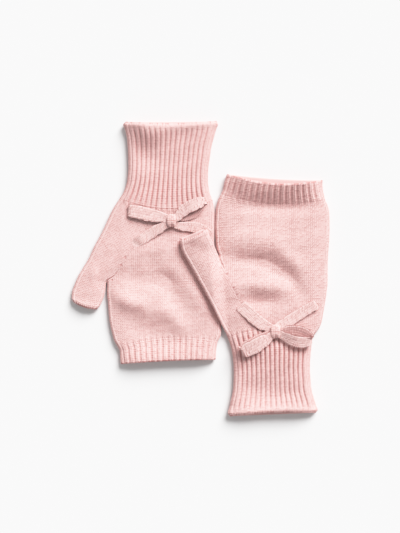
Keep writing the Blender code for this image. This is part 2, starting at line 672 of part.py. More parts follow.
def add_band(side, collection):
    """The ribbed finger edge."""
    first = {
        "left": shifted(LEFT_KNUCKLES, -GAP / 2.0),
        "right": shifted(RIGHT_KNUCKLES, GAP / 2.0),
    }[side]
    rows = [with_opening(values) for values in (first,) + BAND_TABLES[side]]
    piece = {"side": side, "folded": 1.0, "lift": flat_on_surface}
    add_wall(side + "_band", "band", rows, ribbed_stations(BAND_RIBS, UNDER_STEPS), piece, collection)


def add_hand(side, collection):
    """The hand: open along the gusset line down to the fork, then a tube to the finger band."""
    wrist, knuckles = {
        "left": (shifted(LEFT_WRIST, -GAP / 2.0), shifted(LEFT_KNUCKLES, GAP / 2.0)),
        "right": (shifted(RIGHT_WRIST, GAP / 2.0), shifted(RIGHT_KNUCKLES, -GAP / 2.0)),
    }[side]
    rows = [with_opening(part_of(wrist, THUMB_SHARE + seam_share(wrist), 1.0), open_left=1.0)]
    for line, across in gusset_rows(side, HAND_SIDE_TABLES):
        seam = named(GUSSET, line)
        far = named(HAND_SIDE, across)
        rows.append(with_opening(
            (seam["x"] + GAP / 2.0, seam["y"], far["x"], far["y"], far["dip"], far["dip"],
             PALM_EDGE, PALM_CROWN, 0.0, 0.0),
            open_left=seam["open"],
        ))
    rows += [with_opening(values) for values in between(HAND_TABLES[side] + (knuckles,), ROW_STEPS)]
    piece = {"side": side, "folded": 1.0, "lift": hand_lift if side == "right" else flat_on_surface}
    add_wall(side + "_hand", "hand", rows, plain_stations(*HAND_STEPS), piece, collection)


def add_thumb(side, collection):
    """The thumb with its gusset: open along the gusset line up to the fork, then a short free tube."""
    wrist = {"left": shifted(LEFT_WRIST, -GAP / 2.0), "right": shifted(RIGHT_WRIST, GAP / 2.0)}[side]
    rows = [with_opening(part_of(wrist, 0.0, THUMB_SHARE - seam_share(wrist)), open_right=1.0)]
    for line, across in gusset_rows(side, THUMB_SIDE_TABLES):
        seam = named(GUSSET, line)
        far = named(THUMB_SIDE, across)
        rows.append(with_opening(
            (far["x"], far["y"], seam["x"] - GAP / 2.0, seam["y"], 0.0, 0.0,
             PALM_EDGE, PALM_CROWN, 0.0, 0.0),
            open_right=seam["open"],
        ))
    rows += [with_opening(values) for values in THUMB_TABLES[side]]
    piece = {"side": side, "folded": 1.0, "lift": thumb_lift if side == "right" else flat_on_surface}
    add_wall(side + "_thumb", "thumb", rows, plain_stations(*THUMB_STEPS), piece, collection)


def add_bow(side, collection):
    """The bow: its knot, two loops and two tails."""
    add_knot(side, collection)
    for name, table in STRAP_TABLES.items():
        if name.startswith(side):
            mesh = strap_mesh(side, between(table, STRAP_STEPS))
            add_object(name, "bow", mesh, collection)


def main():
    for thing in list(bpy.data.objects):
        bpy.data.objects.remove(thing, do_unlink=True)
    collection = bpy.data.collections.new(COLLECTION)
    bpy.context.scene.collection.children.link(collection)
    for side in ("left", "right"):
        add_cuff(side, collection)
        add_hand(side, collection)
        add_thumb(side, collection)
        add_band(side, collection)
        add_bow(side, collection)


main()
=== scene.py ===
"""A pair of knitted fingerless mittens with bows at the wrist: knit relief, yarn, floor, light and camera.

The pieces stand on the same sections as the CAD solids, with finer rows, stitches raised in the outer
faces, rolled edges and more creases. Tables are in millimetres; +X right, +Y up the picture, +Z up.
"""
import math

import bmesh
import bpy
import numpy as np
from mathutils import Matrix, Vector


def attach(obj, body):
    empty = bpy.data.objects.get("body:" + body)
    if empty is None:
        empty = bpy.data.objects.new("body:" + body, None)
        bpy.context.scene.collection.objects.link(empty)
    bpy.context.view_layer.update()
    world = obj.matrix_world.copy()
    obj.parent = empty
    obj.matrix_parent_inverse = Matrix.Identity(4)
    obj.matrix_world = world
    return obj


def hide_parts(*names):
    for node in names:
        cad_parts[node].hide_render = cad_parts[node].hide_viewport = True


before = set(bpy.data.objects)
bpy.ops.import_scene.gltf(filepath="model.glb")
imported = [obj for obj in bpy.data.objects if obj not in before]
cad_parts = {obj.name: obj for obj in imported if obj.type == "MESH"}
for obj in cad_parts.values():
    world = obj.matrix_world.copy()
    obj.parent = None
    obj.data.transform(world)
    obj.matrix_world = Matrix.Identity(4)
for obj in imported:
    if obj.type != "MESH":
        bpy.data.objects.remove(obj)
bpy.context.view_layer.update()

MM = 0.001
CENTRE = (0.2, -0.85)  # middle of the pair's outline in the tables below
WELD = 0.000004  # metres
WALL = 2.0  # thickness of the cloth
CROWN_REACH = 16.0  # from a side fold to a panel's full height
WALE = 1.85  # a stitch's width
COURSE = 1.4  # and its height
COLUMNS = 4  # mesh columns to a stitch
ROWS = 3  # mesh rows to a stitch
ARC_WALES = 4  # stitches round a side fold
ARC = ARC_WALES * COLUMNS  # mesh steps round it
HALF_ARC = ARC // 2
UNDER_STEPS = 27  # columns across an under panel
COARSE_WALES, COARSE_RIB, COARSE_UNDER = 2, 5, 3  # the inner wall keeps one station in so many

# ---- sections, as in the solids; rows leave out rib and swell where they are 0
SECTION = ("x_left", "y_left", "x_right", "y_right", "dip", "under", "edge", "crown", "rib", "swell", "open")
WRISTS = {
    "left": (-71.0, 61.1, 10.8, 59.2, 8.4, 8.4, 5.6, 2.0, 0.8),
    "right": (23.9, -61.0, 98.5, -60.5, -7.6, -7.6, 5.6, 2.0, 0.8),
}
KNUCKLES = {
    "left": (-72.8, -69.3, 15.3, -64.0, -5.6, -5.6, 5.6, 2.0, 0.6),
    "right": (18.0, 64.9, 109.6, 60.2, 6.2, 0.4, 5.6, 1.9, 0.6),
}
THUMB_SHARE = 0.39  # of the wrist's width, left to the thumb
SPLIT = 0.0004  # clear share on both sides of that place

CUFF_TABLES = {
    "left": (
        (-66.6, 127.6, 14.4, 128.2, 2.4, 0.4, 7.4, 3.6),
        (-67.1, 126.4, 14.8, 127.0, 2.4, 0.4, 7.4, 3.6, 0.0, 0.7),
        (-67.0, 124.9, 14.7, 125.4, 2.4, 0.4, 7.3, 3.5, 0.1, 0.75),
        (-66.6, 123.1, 14.3, 123.5, 2.2, 0.4, 7.2, 3.3, 0.5, 0.3),
        (-66.1, 121.0, 13.8, 121.3, 2.0, 0.4, 7.0, 3.0, 0.9),
        (-65.0, 116.0, 12.4, 116.2, 1.4, 0.4, 7.0, 2.0, 1.0),
        (-64.1, 109.0, 10.3, 109.1, 0.8, 0.4, 6.8, 1.4, 1.0),
        (-63.6, 98.0, 8.5, 98.0, 0.4, 0.4, 6.6, 1.1, 1.0),
        (-63.6, 85.0, 6.9, 85.0, 0.4, 0.4, 6.4, 1.1, 1.1),
        (-65.0, 74.0, 6.9, 74.0, 2.0, 2.0, 6.1, 1.3, 1.35),
        (-67.7, 66.4, 8.3, 66.0, 5.0, 5.0, 5.8, 1.7, 1.4),
    ),
    "right": (
        (25.2, -129.3, 101.6, -126.2, -2.2, 0.0, 7.4, 3.2),
        (24.7, -128.1, 102.2, -125.1, -2.2, 0.0, 7.4, 3.2, 0.0, 0.7),
        (24.6, -126.5, 102.4, -123.8, -2.1, 0.0, 7.3, 3.1, 0.1, 0.75),
        (24.7, -124.7, 102.2, -122.4, -1.9, 0.0, 7.2, 3.0, 0.5, 0.3),
        (25.2, -122.4, 101.8, -120.9, -1.6, 0.0, 7.0, 2.8, 0.9),
        (26.4, -116.8, 100.6, -116.4, -0.9, 0.0, 7.0, 2.0, 1.0),
        (28.1, -109.2, 98.2, -109.2, -0.3, 0.0, 6.8, 1.6, 1.0),
        (29.0, -98.2, 96.9, -98.2, 0.0, 0.0, 6.6, 1.3, 1.0),
        (28.9, -84.2, 96.3, -84.2, 0.0, 0.0, 6.4, 1.2, 1.3),
        (27.6, -73.0, 97.2, -73.0, -2.0, -2.0, 6.1, 1.4, 1.6),
        (25.7, -66.0, 98.0, -65.6, -4.8, -4.8, 5.8, 1.7, 1.5),
    ),
}
BAND_TABLES = {
    "left": (
        (-71.2, -72.4, 14.3, -68.6, -4.0, -4.0, 5.6, 2.4, 0.9),
        (-70.8, -76.4, 13.9, -72.8, -2.4, -2.0, 5.9, 3.0, 1.0),
        (-70.5, -80.6, 13.7, -77.0, -1.2, -0.8, 6.4, 3.4, 1.0),
        (-70.3, -83.3, 13.6, -79.5, -1.0, -0.6, 6.6, 3.5, 0.7),
    ),
    "right": (
        (19.9, 69.0, 108.3, 65.6, 6.4, 0.6, 5.9, 3.2, 0.9),
        (20.7, 73.7, 107.6, 70.4, 6.4, 0.9, 6.6, 4.8, 1.0),
        (22.0, 78.5, 107.3, 74.2, 6.2, 1.2, 7.2, 6.3, 1.0),
        (23.2, 81.6, 107.0, 76.3, 6.0, 1.4, 7.4, 7.0, 0.7, 0.4),
    ),
}
GUSSET_TABLES = {  # x, y, open
    "left": (
        (-44.7, 40.8, 1.0), (-52.2, 28.5, 1.0), (-59.2, 17.5, 1.0), (-64.5, 9.6, 1.0),
        (-70.6, 0.4, 0.85), (-76.7, -7.5, 0.45), (-82.2, -11.9, 0.06),
    ),
    "right": (
        (45.2, -46.9, 1.0), (38.1, -34.6, 1.0), (32.2, -23.5, 1.0), (26.7, -12.7, 1.0),
        (22.6, -3.9, 0.85), (18.9, 3.1, 0.45), (16.4, 9.4, 0.06),
    ),
}
HAND_SIDE_TABLES = {  # x, y, dip
    "left": (
        (12.2, 49.1, 2.0), (12.2, 35.1, 1.0), (12.0, 21.9, 0.5), (12.3, 10.5, 0.0),
        (13.4, 0.0, 0.0), (14.5, -8.8, 0.0), (15.3, -16.7, 0.0),
    ),
    "right": (
        (104.8, -51.7, -2.0), (108.1, -38.6, -1.0), (110.5, -24.6, 0.0), (111.8, -13.2, 0.0),
        (111.9, -2.6, 0.0), (112.0, 5.3, 0.0), (112.4, 13.2, 0.4),
    ),
}
HAND_TABLES = {
    "left": (
        (-82.1, -12.8, 15.4, -17.6, 0.0, 0.0, 5.4, 2.2),
        (-82.1, -21.0, 16.0, -24.6, 0.0, 0.0, 5.4, 2.2),
        (-81.1, -34.2, 17.1, -35.1, 0.0, 0.0, 5.4, 2.2),
        (-80.0, -46.5, 17.8, -45.6, -1.4, -1.4, 5.4, 2.2),
        (-77.8, -57.0, 18.2, -54.4, -3.0, -3.0, 5.4, 2.1),
        (-75.4, -64.9, 17.4, -60.4, -4.6, -4.6, 5.5, 2.0),
    ),
    "right": (
        (16.5, 10.3, 112.5, 14.2, 0.4, 0.0, 5.4, 2.2),
        (14.3, 16.7, 113.1, 21.9, 0.8, 0.0, 5.4, 2.2),
        (13.0, 28.9, 113.6, 33.3, 1.8, 0.0, 5.4, 2.2),
        (12.9, 42.1, 113.5, 43.9, 3.4, 0.0, 5.4, 2.2),
        (13.9, 53.5, 112.7, 52.6, 5.0, 0.2, 5.5, 2.2),
        (15.7, 60.2, 110.9, 57.4, 6.0, 0.4, 5.6, 1.9),
    ),
}
THUMB_SIDE_TABLES = {  # x, y
    "left": (
        (-76.7, 52.2), (-82.4, 40.3), (-88.1, 28.5), (-93.4, 18.9),
        (-98.0, 8.8), (-103.5, -0.4), (-107.9, -7.9),
    ),
    "right": (
        (18.9, -50.9), (13.6, -39.9), (7.9, -28.9), (2.6, -18.9),
        (-2.6, -9.6), (-6.8, -1.8), (-10.3, 4.4),
    ),
}
THUMB_TABLES = {
    "left": (
        (-108.2, -8.7, -82.6, -12.8, 0.1, 0.1, 5.4, 2.15),
        (-110.8, -14.9, -83.9, -20.6, 0.4, 0.4, 5.3, 1.9),
        (-112.9, -21.2, -85.5, -27.0, 0.8, 0.8, 5.4, 1.8),
        (-113.2, -25.2, -87.5, -31.4, 1.4, 1.0, 5.8, 2.0),
        (-112.7, -27.2, -89.3, -34.0, 1.7, 1.2, 6.0, 2.2, 0.0, 0.3),
        (-112.2, -28.5, -90.3, -35.3, 1.8, 1.2, 6.0, 2.2),
    ),
    "right": (
        (-10.7, 5.2, 16.0, 10.3, 0.2, 0.0, 5.4, 2.15),
        (-13.8, 10.5, 13.0, 17.1, 0.6, 0.0, 5.3, 1.9),
        (-16.2, 15.3, 9.6, 24.6, 1.2, 0.0, 5.4, 1.8),
        (-17.4, 19.9, 7.3, 29.6, 2.0, 0.0, 5.8, 2.0),
        (-17.6, 23.1, 6.0, 32.6, 2.4, 0.0, 6.0, 2.2, 0.0, 0.3),
        (-17.6, 24.6, 5.4, 33.9, 2.5, 0.0, 6.0, 2.2),
    ),
}
PALM_EDGE = 5.4  # height of a hand at its side folds
PALM_CROWN = 2.2  # and how much more in its middle

# Soft ridges and troughs: x, y, heading, length, breadth, rise.
FOLD_EASE, FOLD_REST = 2.5, 0.7  # a trough eases off from this depth, this much above the wall below
FOLD_TABLES = {
    "left": (
        (-46.0, 16.5, 6.0, 26.0, 8.0, 1.3),
        (-47.0, -10.5, -4.0, 27.0, 8.0, -2.9),
        (-64.0, -29.5, -16.0, 26.0, 7.6, 3.7),
        (-48.0, -54.0, -18.0, 28.0, 10.0, -2.4),
        (-50.0, -66.0, 0.0, 32.0, 9.0, -1.0),
        (-24.0, -44.0, -48.0, 19.0, 7.0, 2.0),
        (-6.0, -22.0, -54.0, 27.0, 8.0, 1.7),
        (-28.0, -17.0, -54.0, 24.0, 8.0, -2.3),
        (-96.0, -2.0, -62.0, 22.0, 6.0, 1.2),
        (-47.0, 121.0, 0.0, 17.0, 11.0, 4.4),
        (-50.0, 97.0, 0.0, 16.0, 10.0, -2.4),
    ),
    "right": (
        (64.0, 53.5, 0.0, 30.0, 6.5, -2.9),
        (53.0, 24.0, 0.0, 30.0, 11.0, 3.1),
        (78.0, 8.0, -38.0, 16.0, 7.0, 2.2),
        (45.0, 6.0, -4.0, 20.0, 6.5, -3.4),
        (66.0, -2.5, -32.0, 14.0, 7.0, -2.9),
        (82.0, -14.0, -58.0, 15.0, 6.5, -2.6),
        (52.0, -15.5, -4.0, 23.0, 6.5, 3.0),
        (50.0, -30.0, 2.0, 20.0, 6.5, -3.1),
        (31.0, -26.0, -62.0, 24.0, 10.0, 2.2),
        (10.0, -20.0, -62.0, 26.0, 6.0, 0.8),
        (62.0, -74.0, 0.0, 32.0, 12.0, 2.0),
        (58.0, -109.0, 0.0, 36.0, 10.5, -3.0),
    ),
}

RAMP_OUT = 7.0  # the right thumb starts to rise this far outside the left mitten
RAMP = 13.0  # and is up after this run
REST = 0.5  # clear height between that thumb and the palm below
HAND_LIFT_TOP = 16.7  # the right hand beside it is lifted below this y
HAND_LIFT_FULL = 9.4  # and fully below this one
TAIL_UNDER = (6.0, 33.0, 15.0, 3.2)  # x, y, reach and rise over the tail under the thumb

# Bows: x, y, lift, width, turn and, where it isn't 0, lean.
STRAP_TABLES = {
    "left_bow_loop_a": (
        (-30.4, 43.4, 3.1, 8.0, 84.0), (-38.0, 45.2, 3.0, 10.6, 82.0, -2.0),
        (-47.5, 47.4, 2.9, 11.8, 81.0, -2.0), (-56.0, 49.1, 2.7, 11.6, 85.0, -2.0),
        (-61.6, 50.0, 2.4, 11.0, 90.0), (-63.0, 50.2, 1.7, 10.6, 90.0),
        (-61.0, 50.0, 1.0, 10.0, 88.0), (-53.0, 49.4, 0.9, 9.4, 84.0),
        (-42.0, 47.2, 0.9, 8.0, 82.0), (-30.4, 44.6, 1.1, 4.8, 84.0),
    ),
    "left_bow_loop_b": (
        (-20.6, 44.4, 3.6, 7.0, 120.0, -5.0), (-14.3, 50.8, 3.9, 9.8, 119.0, -7.0),
        (-6.6, 55.2, 4.0, 10.6, 110.0, -8.0), (0.6, 57.8, 3.6, 9.2, 106.0, -4.0),
        (3.3, 58.2, 2.6, 7.4, 108.0), (1.0, 55.6, 1.6, 7.0, 110.0),
        (-5.0, 49.2, 1.3, 9.0, 112.0, 3.0), (-12.6, 45.2, 1.3, 8.0, 116.0, 3.0),
        (-20.6, 43.2, 1.3, 5.0, 112.0),
    ),
    "left_bow_tail_a": (
        (-30.0, 38.3, 2.7, 7.6, 118.0), (-37.0, 34.2, 2.1, 8.8, 120.0),
        (-45.5, 28.8, 1.3, 9.2, 121.0), (-53.4, 23.8, 1.2, 9.2, 123.0),
        (-59.8, 20.0, 1.1, 8.8, 126.0),
    ),
    "left_bow_tail_b": (
        (-20.8, 37.4, 2.1, 6.0, 86.0), (-14.5, 36.6, 1.6, 8.2, 86.0),
        (-7.5, 35.9, 1.3, 9.6, 82.0), (-0.5, 34.4, 1.2, 9.4, 70.0),
        (5.0, 31.6, 1.2, 8.8, 56.0), (8.2, 28.8, 1.2, 8.0, 46.0),
    ),
    "right_bow_loop_a": (
        (60.2, -57.8, 1.9, 6.4, 122.0, 5.0), (53.2, -61.8, 2.1, 10.0, 120.0, 7.0),
        (45.4, -66.4, 2.2, 11.2, 120.0, 9.0), (39.0, -70.2, 2.4, 11.2, 121.0, 8.0),
        (36.0, -72.2, 3.1, 8.4, 122.0, 6.0), (36.6, -72.8, 4.1, 9.2, 122.0, 6.0),
        (40.4, -71.4, 4.5, 12.0, 121.0, 8.0), (46.4, -68.6, 4.6, 12.4, 119.0, 10.0),
        (54.0, -64.2, 4.4, 11.4, 118.0, 9.0), (60.6, -60.4, 3.7, 7.4, 120.0, 5.0),
    ),
    "right_bow_loop_b": (
        (70.4, -56.4, 2.0, 6.4, 100.0, 6.0), (76.8, -55.4, 2.3, 10.0, 97.0, 11.0),
        (84.2, -55.6, 2.4, 11.0, 92.0, 13.0), (91.0, -57.8, 2.4, 10.8, 85.0, 12.0),
        (95.4, -60.6, 2.7, 8.4, 82.0, 10.0), (96.6, -62.4, 3.5, 7.6, 82.0, 9.0),
        (95.4, -63.6, 4.3, 8.4, 86.0, 10.0), (91.0, -64.8, 4.6, 10.0, 93.0, 10.0),
        (84.6, -64.6, 4.7, 10.2, 100.0, 11.0), (77.4, -61.8, 4.4, 9.4, 106.0, 10.0),
        (70.4, -58.6, 3.7, 7.0, 110.0, 5.0),
    ),
    "right_bow_tail_a": (
        (60.4, -52.2, 2.6, 8.0, 50.0), (53.4, -48.8, 2.2, 10.4, 48.0),
        (46.0, -42.6, 1.6, 11.2, 47.0), (39.6, -36.6, 1.3, 11.2, 45.0),
        (34.8, -32.0, 1.2, 11.4, 38.0),
    ),
    "right_bow_tail_b": (
        (69.8, -50.8, 2.6, 8.4, 122.0), (76.6, -46.8, 2.2, 9.8, 120.0),
        (85.0, -41.6, 1.7, 9.8, 120.0), (93.8, -36.2, 1.5, 9.4, 121.0),
        (101.8, -31.6, 1.3, 9.0, 124.0),
    ),
}
STRAP = 1.6  # thickness
STRAP_WALES = 5
KNOTS = {  # x, y, wide, deep, high
    "left": (-25.5, 41.4, 8.4, 11.0, 5.8),
    "right": (65.3, -55.6, 8.8, 11.6, 6.0),
}
KNOT_WALES = 4
KNOT_CLEAR = 0.4  # between a knot and the cloth below
CUFF_CLEAR = 1.2  # more height for the ribs of a cuff
WRIST_LINES = {"left": (52.0, 1.0), "right": (-53.5, -1.0)}  # y, and on which side the cuff is
WRIST_FADE = 5.0

# ---- ribs: two wales with a narrow valley
CUFF_RIB = (  # place as a share of the pitch, height, leg, wale
    (0.0, 0.0, 0.7, 0.0), (0.12, 0.12, 0.5, 0.4), (0.23, 0.8, 0.4, 0.75), (0.33, 0.92, 0.2, 1.0),
    (0.42, 1.0, 0.4, 1.25), (0.5, 0.8, 0.9, 1.5), (0.58, 1.0, 0.4, 1.75), (0.67, 0.92, 0.2, 2.0),
    (0.77, 0.8, 0.4, 2.25), (0.88, 0.12, 0.5, 2.6),
)
BAND_RIB = (
    (0.0, 0.0, 0.8, 0.0), (0.12, 0.12, 0.5, 0.3), (0.21, 0.5, 0.6, 0.6), (0.3, 0.92, 0.7, 0.8),
    (0.4, 0.84, 0.4, 1.0), (0.5, 0.88, 0.9, 1.5), (0.6, 0.84, 0.4, 2.0), (0.7, 0.92, 0.7, 2.2),
    (0.79, 0.5, 0.6, 2.4), (0.88, 0.12, 0.5, 2.7),
)
CUFF_RIBS = {"left": 16, "right": 15}
BAND_RIBS = 16

RIB_VALLEY_SHADE = 0.2  # painted shade in a rib's valley

# ---- stitches
# Across a plain stitch: height of its four columns, how far each is drawn along it, its share of the
# rows' heights.
DRAW = 0.32
WALE_HEIGHT = (-0.24, 0.06, -0.08, 0.06)
WALE_DRAW = (-DRAW, 0.0, DRAW, 0.0)
LEG = (1.6, 0.3, 0.9, 0.3)
ROW_HEIGHT = (-0.2, 0.07, 0.09)  # along a stitch: height of its three rows
SEAM_HEIGHT = -0.06  # of the first and last column of an upper panel
FADE_END, FADE_ARC = 150.0, 60.0  # relief fades out round a side fold, in degrees from the top
COLUMN_MARGIN = 0.3  # steps that plain columns stay clear of the side folds
GRAIN = np.random.default_rng(12).uniform(-1.0, 1.0, (97, 97))  # unevenness of each stitch
GRAIN_RISE, GRAIN_TONE = 0.05, 0.09  # its height and tone
ROW_TONE = 0.3  # painted shade of the rows on ribs; 1 on plain knit
RIB_DOTS, DOT_TONE, STRAP_DOTS = 1.6, 2.0, 1.5  # painted shade: dark dots in the gaps between stitches, deep at random
UNEVENNESS = ((0.22, 17.0, 5), (0.1, 6.0, 9))  # rise, scale and seed of the slow waves
WAVES, WAVE_STRETCH = 6, (0.7, 1.5)
GHOST_REACH = 3.0  # ribs die out over this length beyond a seam
ROLL, ROLL_LEAST = 1.1, 0.001  # how far an open end's rolled rim stands out
ROLL_STEPS = (35, 70, 100, 130, 155, 180)  # degrees round it
ROLL_CALM = 0.8  # share of the relief on it
LEAST_OPEN = 0.02  # of a side fold that another piece joins
ARC_FLOOR = 0.999  # a fold's wall stays this share of its inset above the table
ANGLE_SLACK = 0.01  # degrees
MARK_REACH, MARK_DEPTH = 0.9, 0.45  # worked-in holes beside the gussets: dented, and darkened with painted shade
MARKS = {
    "left": ((-77.6, -10.5), (-69.7, 2.6), (-66.2, 9.6)),
    "right": ((18.8, 0.7), (23.2, -5.3), (28.9, -17.1), (31.9, -23.2)),
}

# ---- cords
INTO_KNOT = 0.45  # a strap runs on this share of the way to its knot's middle
EDGE_POWER = 5.0  # how square a strap's edge is
FLAT_BODY, EDGE_BODY = 0.74, 0.4  # thickness in the middle, and how much more at the rolled edges
STRAP_GRAIN, KNOT_GRAIN = 2.0, 8.0  # times GRAIN_RISE
EDGE_RELIEF = 0.3  # share of the relief kept at an edge
EDGE_LUMP, EDGE_COURSES, LUMP_POWER = 0.5, 1.6, 6  # lumps there: size, stitches, steepness
SEED_STEP = 7  # rows of GRAIN from one strap to the next
INSIDE_SHADE = 0.22  # painted shade on a loop's inner face, where its other layer shades it
END_WIDTH = 0.6  # width left at a closed end
TAPER = (3.2, 0.3)  # length and thinness of a free end
ENDS = {"left_bow_tail_a": (11.0, 0.05)}
SINK = {"left_bow_tail_a": 2.2}  # into the knit below, at the end
KNOT_COURSES = 20  # stitches round a knot
KNOT_END, KNOT_CLOSE = 1.06, 1.08  # last ring, and where the outline would close, in half widths
KNOT_POWERS = (3.0, 1 / 2.3)  # of its outline from above
KNOT_SQUARE = 0.78  # and from the side
KNOT_ROWS, KNOT_RISE, KNOT_FADE = 0.6, 1.9, 1.4  # relief: rows, rise, fade at the ends
KNOT_REACH = 4.4  # relief is divided by this to give a share of the knot's size
KNOT_WIDE = 0.95  # of the solid's width
KNOT_GRAIN_ROW = 40  # first row of GRAIN that knots use
KNOT_ROUND = 1.15  # cord that shows round a knot, as a share of its depth and height together
NARROWEST = 0.01  # flat width in metres that a sheet has at least
RESTS = {  # what a piece lies on, where that isn't the floor
    "right_hand": ("left_hand",),
    "right_thumb": ("left_hand",),
    "left_bow_knot": ("left_hand", "left_cuff"),
    "left_bow_loop_a": ("left_cuff", "left_thumb"),
    "left_bow_loop_b": ("left_cuff", "left_hand"),
    "left_bow_tail_a": ("left_hand", "left_thumb"),
    "left_bow_tail_b": ("left_hand",),
    "right_bow_knot": ("right_hand", "right_cuff"),
    "right_bow_loop_a": ("right_cuff",),
    "right_bow_loop_b": ("right_cuff", "right_hand"),
    "right_bow_tail_a": ("right_hand", "right_thumb"),
    "right_bow_tail_b": ("right_hand",),
}

# ---- looks
YARNS = {  # colour of crests, colour of valleys; the valleys' darker, redder colour is painted shade
    "hand": ((0.86, 0.565, 0.545), (0.50, 0.21, 0.20)),
    "cuff": ((0.83, 0.53, 0.51), (0.52, 0.22, 0.21)),
    "band": ((0.84, 0.54, 0.52), (0.54, 0.23, 0.22)),
    "bow": ((0.88, 0.60, 0.575), (0.54, 0.24, 0.23)),
}
YARN_SURFACE = {
    "Roughness": 0.95, "Specular IOR Level": 0.1,
    "Sheen Weight": 0.12, "Sheen Roughness": 0.6, "Sheen Tint": (1.0, 0.86, 0.84, 1.0),
}
RELIEF_LOW, RELIEF_HIGH = -0.5, 0.2  # relief that is all valley, all crest
STITCH_SHARE, RELIEF_SHARE = 0.35, 0.65  # of the tone
ROW_DEPTH = 0.22  # of the drawn stitches
ALL_CREST = 0.75  # height where crests have their full colour
FIBRE_SCALE, FIBRE_DETAIL, FIBRE_TONE, FIBRE_BUMP = 1900.0, 3.0, 0.5, 0.8
MOTTLE_SCALE, MOTTLE_DETAIL, MOTTLE_TONE, MOTTLE_BASE = 260.0, 2.0, 0.06, 0.97
BUMP_STRENGTH, BUMP_DISTANCE = 0.55, 0.0003
FLOOR_HALF, FLOOR_LEVEL, FLOOR_TONE = 2, -0.0002, 0.825  # metres, metres, albedo
SKY, KEY, KEY_ANGLE, KEY_FROM = 0.45, 5.28, 36.0, (0.43, 0.69, 0.588)
LENS, SENSOR, CLIPS = 120.0, 36.0, (0.1, 10.0)
VIEW_LONG, VIEW_LEVEL, VIEW_X, VIEW_Y = 0.4674, 0.006, -0.00064, 0.00217  # metres seen, height, place
# Film: brightness seen, brightness shown.
SHOULDER = ((0.0, 0.0), (0.35, 0.35), (0.66, 0.66), (0.88, 0.815), (1.12, 0.93), (1.5, 1.0))


# ---- small helpers
def placed(name, data):
    made = bpy.data.objects.new(name, data)
    bpy.context.scene.collection.objects.link(made)
    return made


def plain_paint(name):
    """A material and its shader."""
    paint = bpy.data.materials.new(name)
    paint.use_nodes = True
    return paint, paint.node_tree.nodes["Principled BSDF"]


def smooth(t):
    t = np.clip(t, 0.0, 1.0)
    return t * t * (3.0 - 2.0 * t)


def crowned(distance):
    return 1.0 - (1.0 - np.clip(distance / CROWN_REACH, 0.0, 1.0)) ** 2


def folds(side, x, y):
    """Height of the soft ridges and troughs."""
    height = np.zeros_like(x)
    for fx, fy, heading, length, breadth, rise in FOLD_TABLES[side]:
        a = math.radians(heading)
        dx, dy = x - fx, y - fy
        run = dx * math.cos(a) + dy * math.sin(a)
        across = dy * math.cos(a) - dx * math.sin(a)
        height = height + rise * np.exp(-(run / length) ** 2 - (across / breadth) ** 2)
    deep = np.minimum(height + FOLD_EASE, 0.0)
    return np.maximum(height, -FOLD_EASE) - FOLD_REST * (1.0 - np.exp(deep / FOLD_REST))


def drift(x, y, scale, seed):
    """Slow unevenness around 0: a few crossed waves whose headings, phases and lengths come from seed."""
    rng = np.random.default_rng(seed)
    total = np.zeros_like(x)
    for _ in range(WAVES):
        a, phase, stretch = rng.uniform(0, math.tau), rng.uniform(0, math.tau), rng.uniform(*WAVE_STRETCH)
        total += np.sin((x * math.cos(a) + y * math.sin(a)) * math.tau / (scale * stretch) + phase)
    return total / (WAVES / 2.0)


def left_mitten_edge(y):
    side = [(row[1], row[0]) for row in HAND_SIDE_TABLES["left"]]
    side += [(row[3], row[2]) for row in HAND_TABLES["left"]]
    side.sort()
    ys, xs = zip(*side)
    return np.interp(y, ys, xs)


def thumb_lift(x, y):
    inside = left_mitten_edge(y) - x
    top = PALM_EDGE + PALM_CROWN + folds("left", x, y) + REST
    tail_x, tail_y, reach, rise = TAIL_UNDER
    away = np.hypot(x - tail_x, y - tail_y) / reach
    return top * smooth((inside + RAMP_OUT) / RAMP) + rise * np.exp(-away ** 4)


def hand_lift(x, y):
    return thumb_lift(x, y) * smooth((HAND_LIFT_TOP - y) / (HAND_LIFT_TOP - HAND_LIFT_FULL))


def on_surface(x, y):
    return np.zeros_like(x)


def curve_through(places, values, wanted):
    """Smooth curve through rows of values at uneven places (cubic, one slope at each row)."""
    places, values = np.asarray(places, float), np.asarray(values, float)
    steps = np.diff(places)
    rates = np.diff(values, axis=0) / steps[:, None]
    slopes = np.empty_like(values)
    slopes[0], slopes[-1] = rates[0], rates[-1]
    before, after = steps[:-1, None], steps[1:, None]
    slopes[1:-1] = (rates[:-1] * after + rates[1:] * before) / (before + after)
    k = np.clip(np.searchsorted(places, wanted, side="right") - 1, 0, len(steps) - 1)
    h = steps[k][:, None]
    t = ((wanted - places[k])[:, None]) / h
    a, b = values[k], values[k + 1]
    return (
        (2 * t ** 3 - 3 * t ** 2 + 1) * a + (t ** 3 - 2 * t ** 2 + t) * h * slopes[k]
        + (3 * t ** 2 - 2 * t ** 3) * b + (t ** 3 - t ** 2) * h * slopes[k + 1]
    )


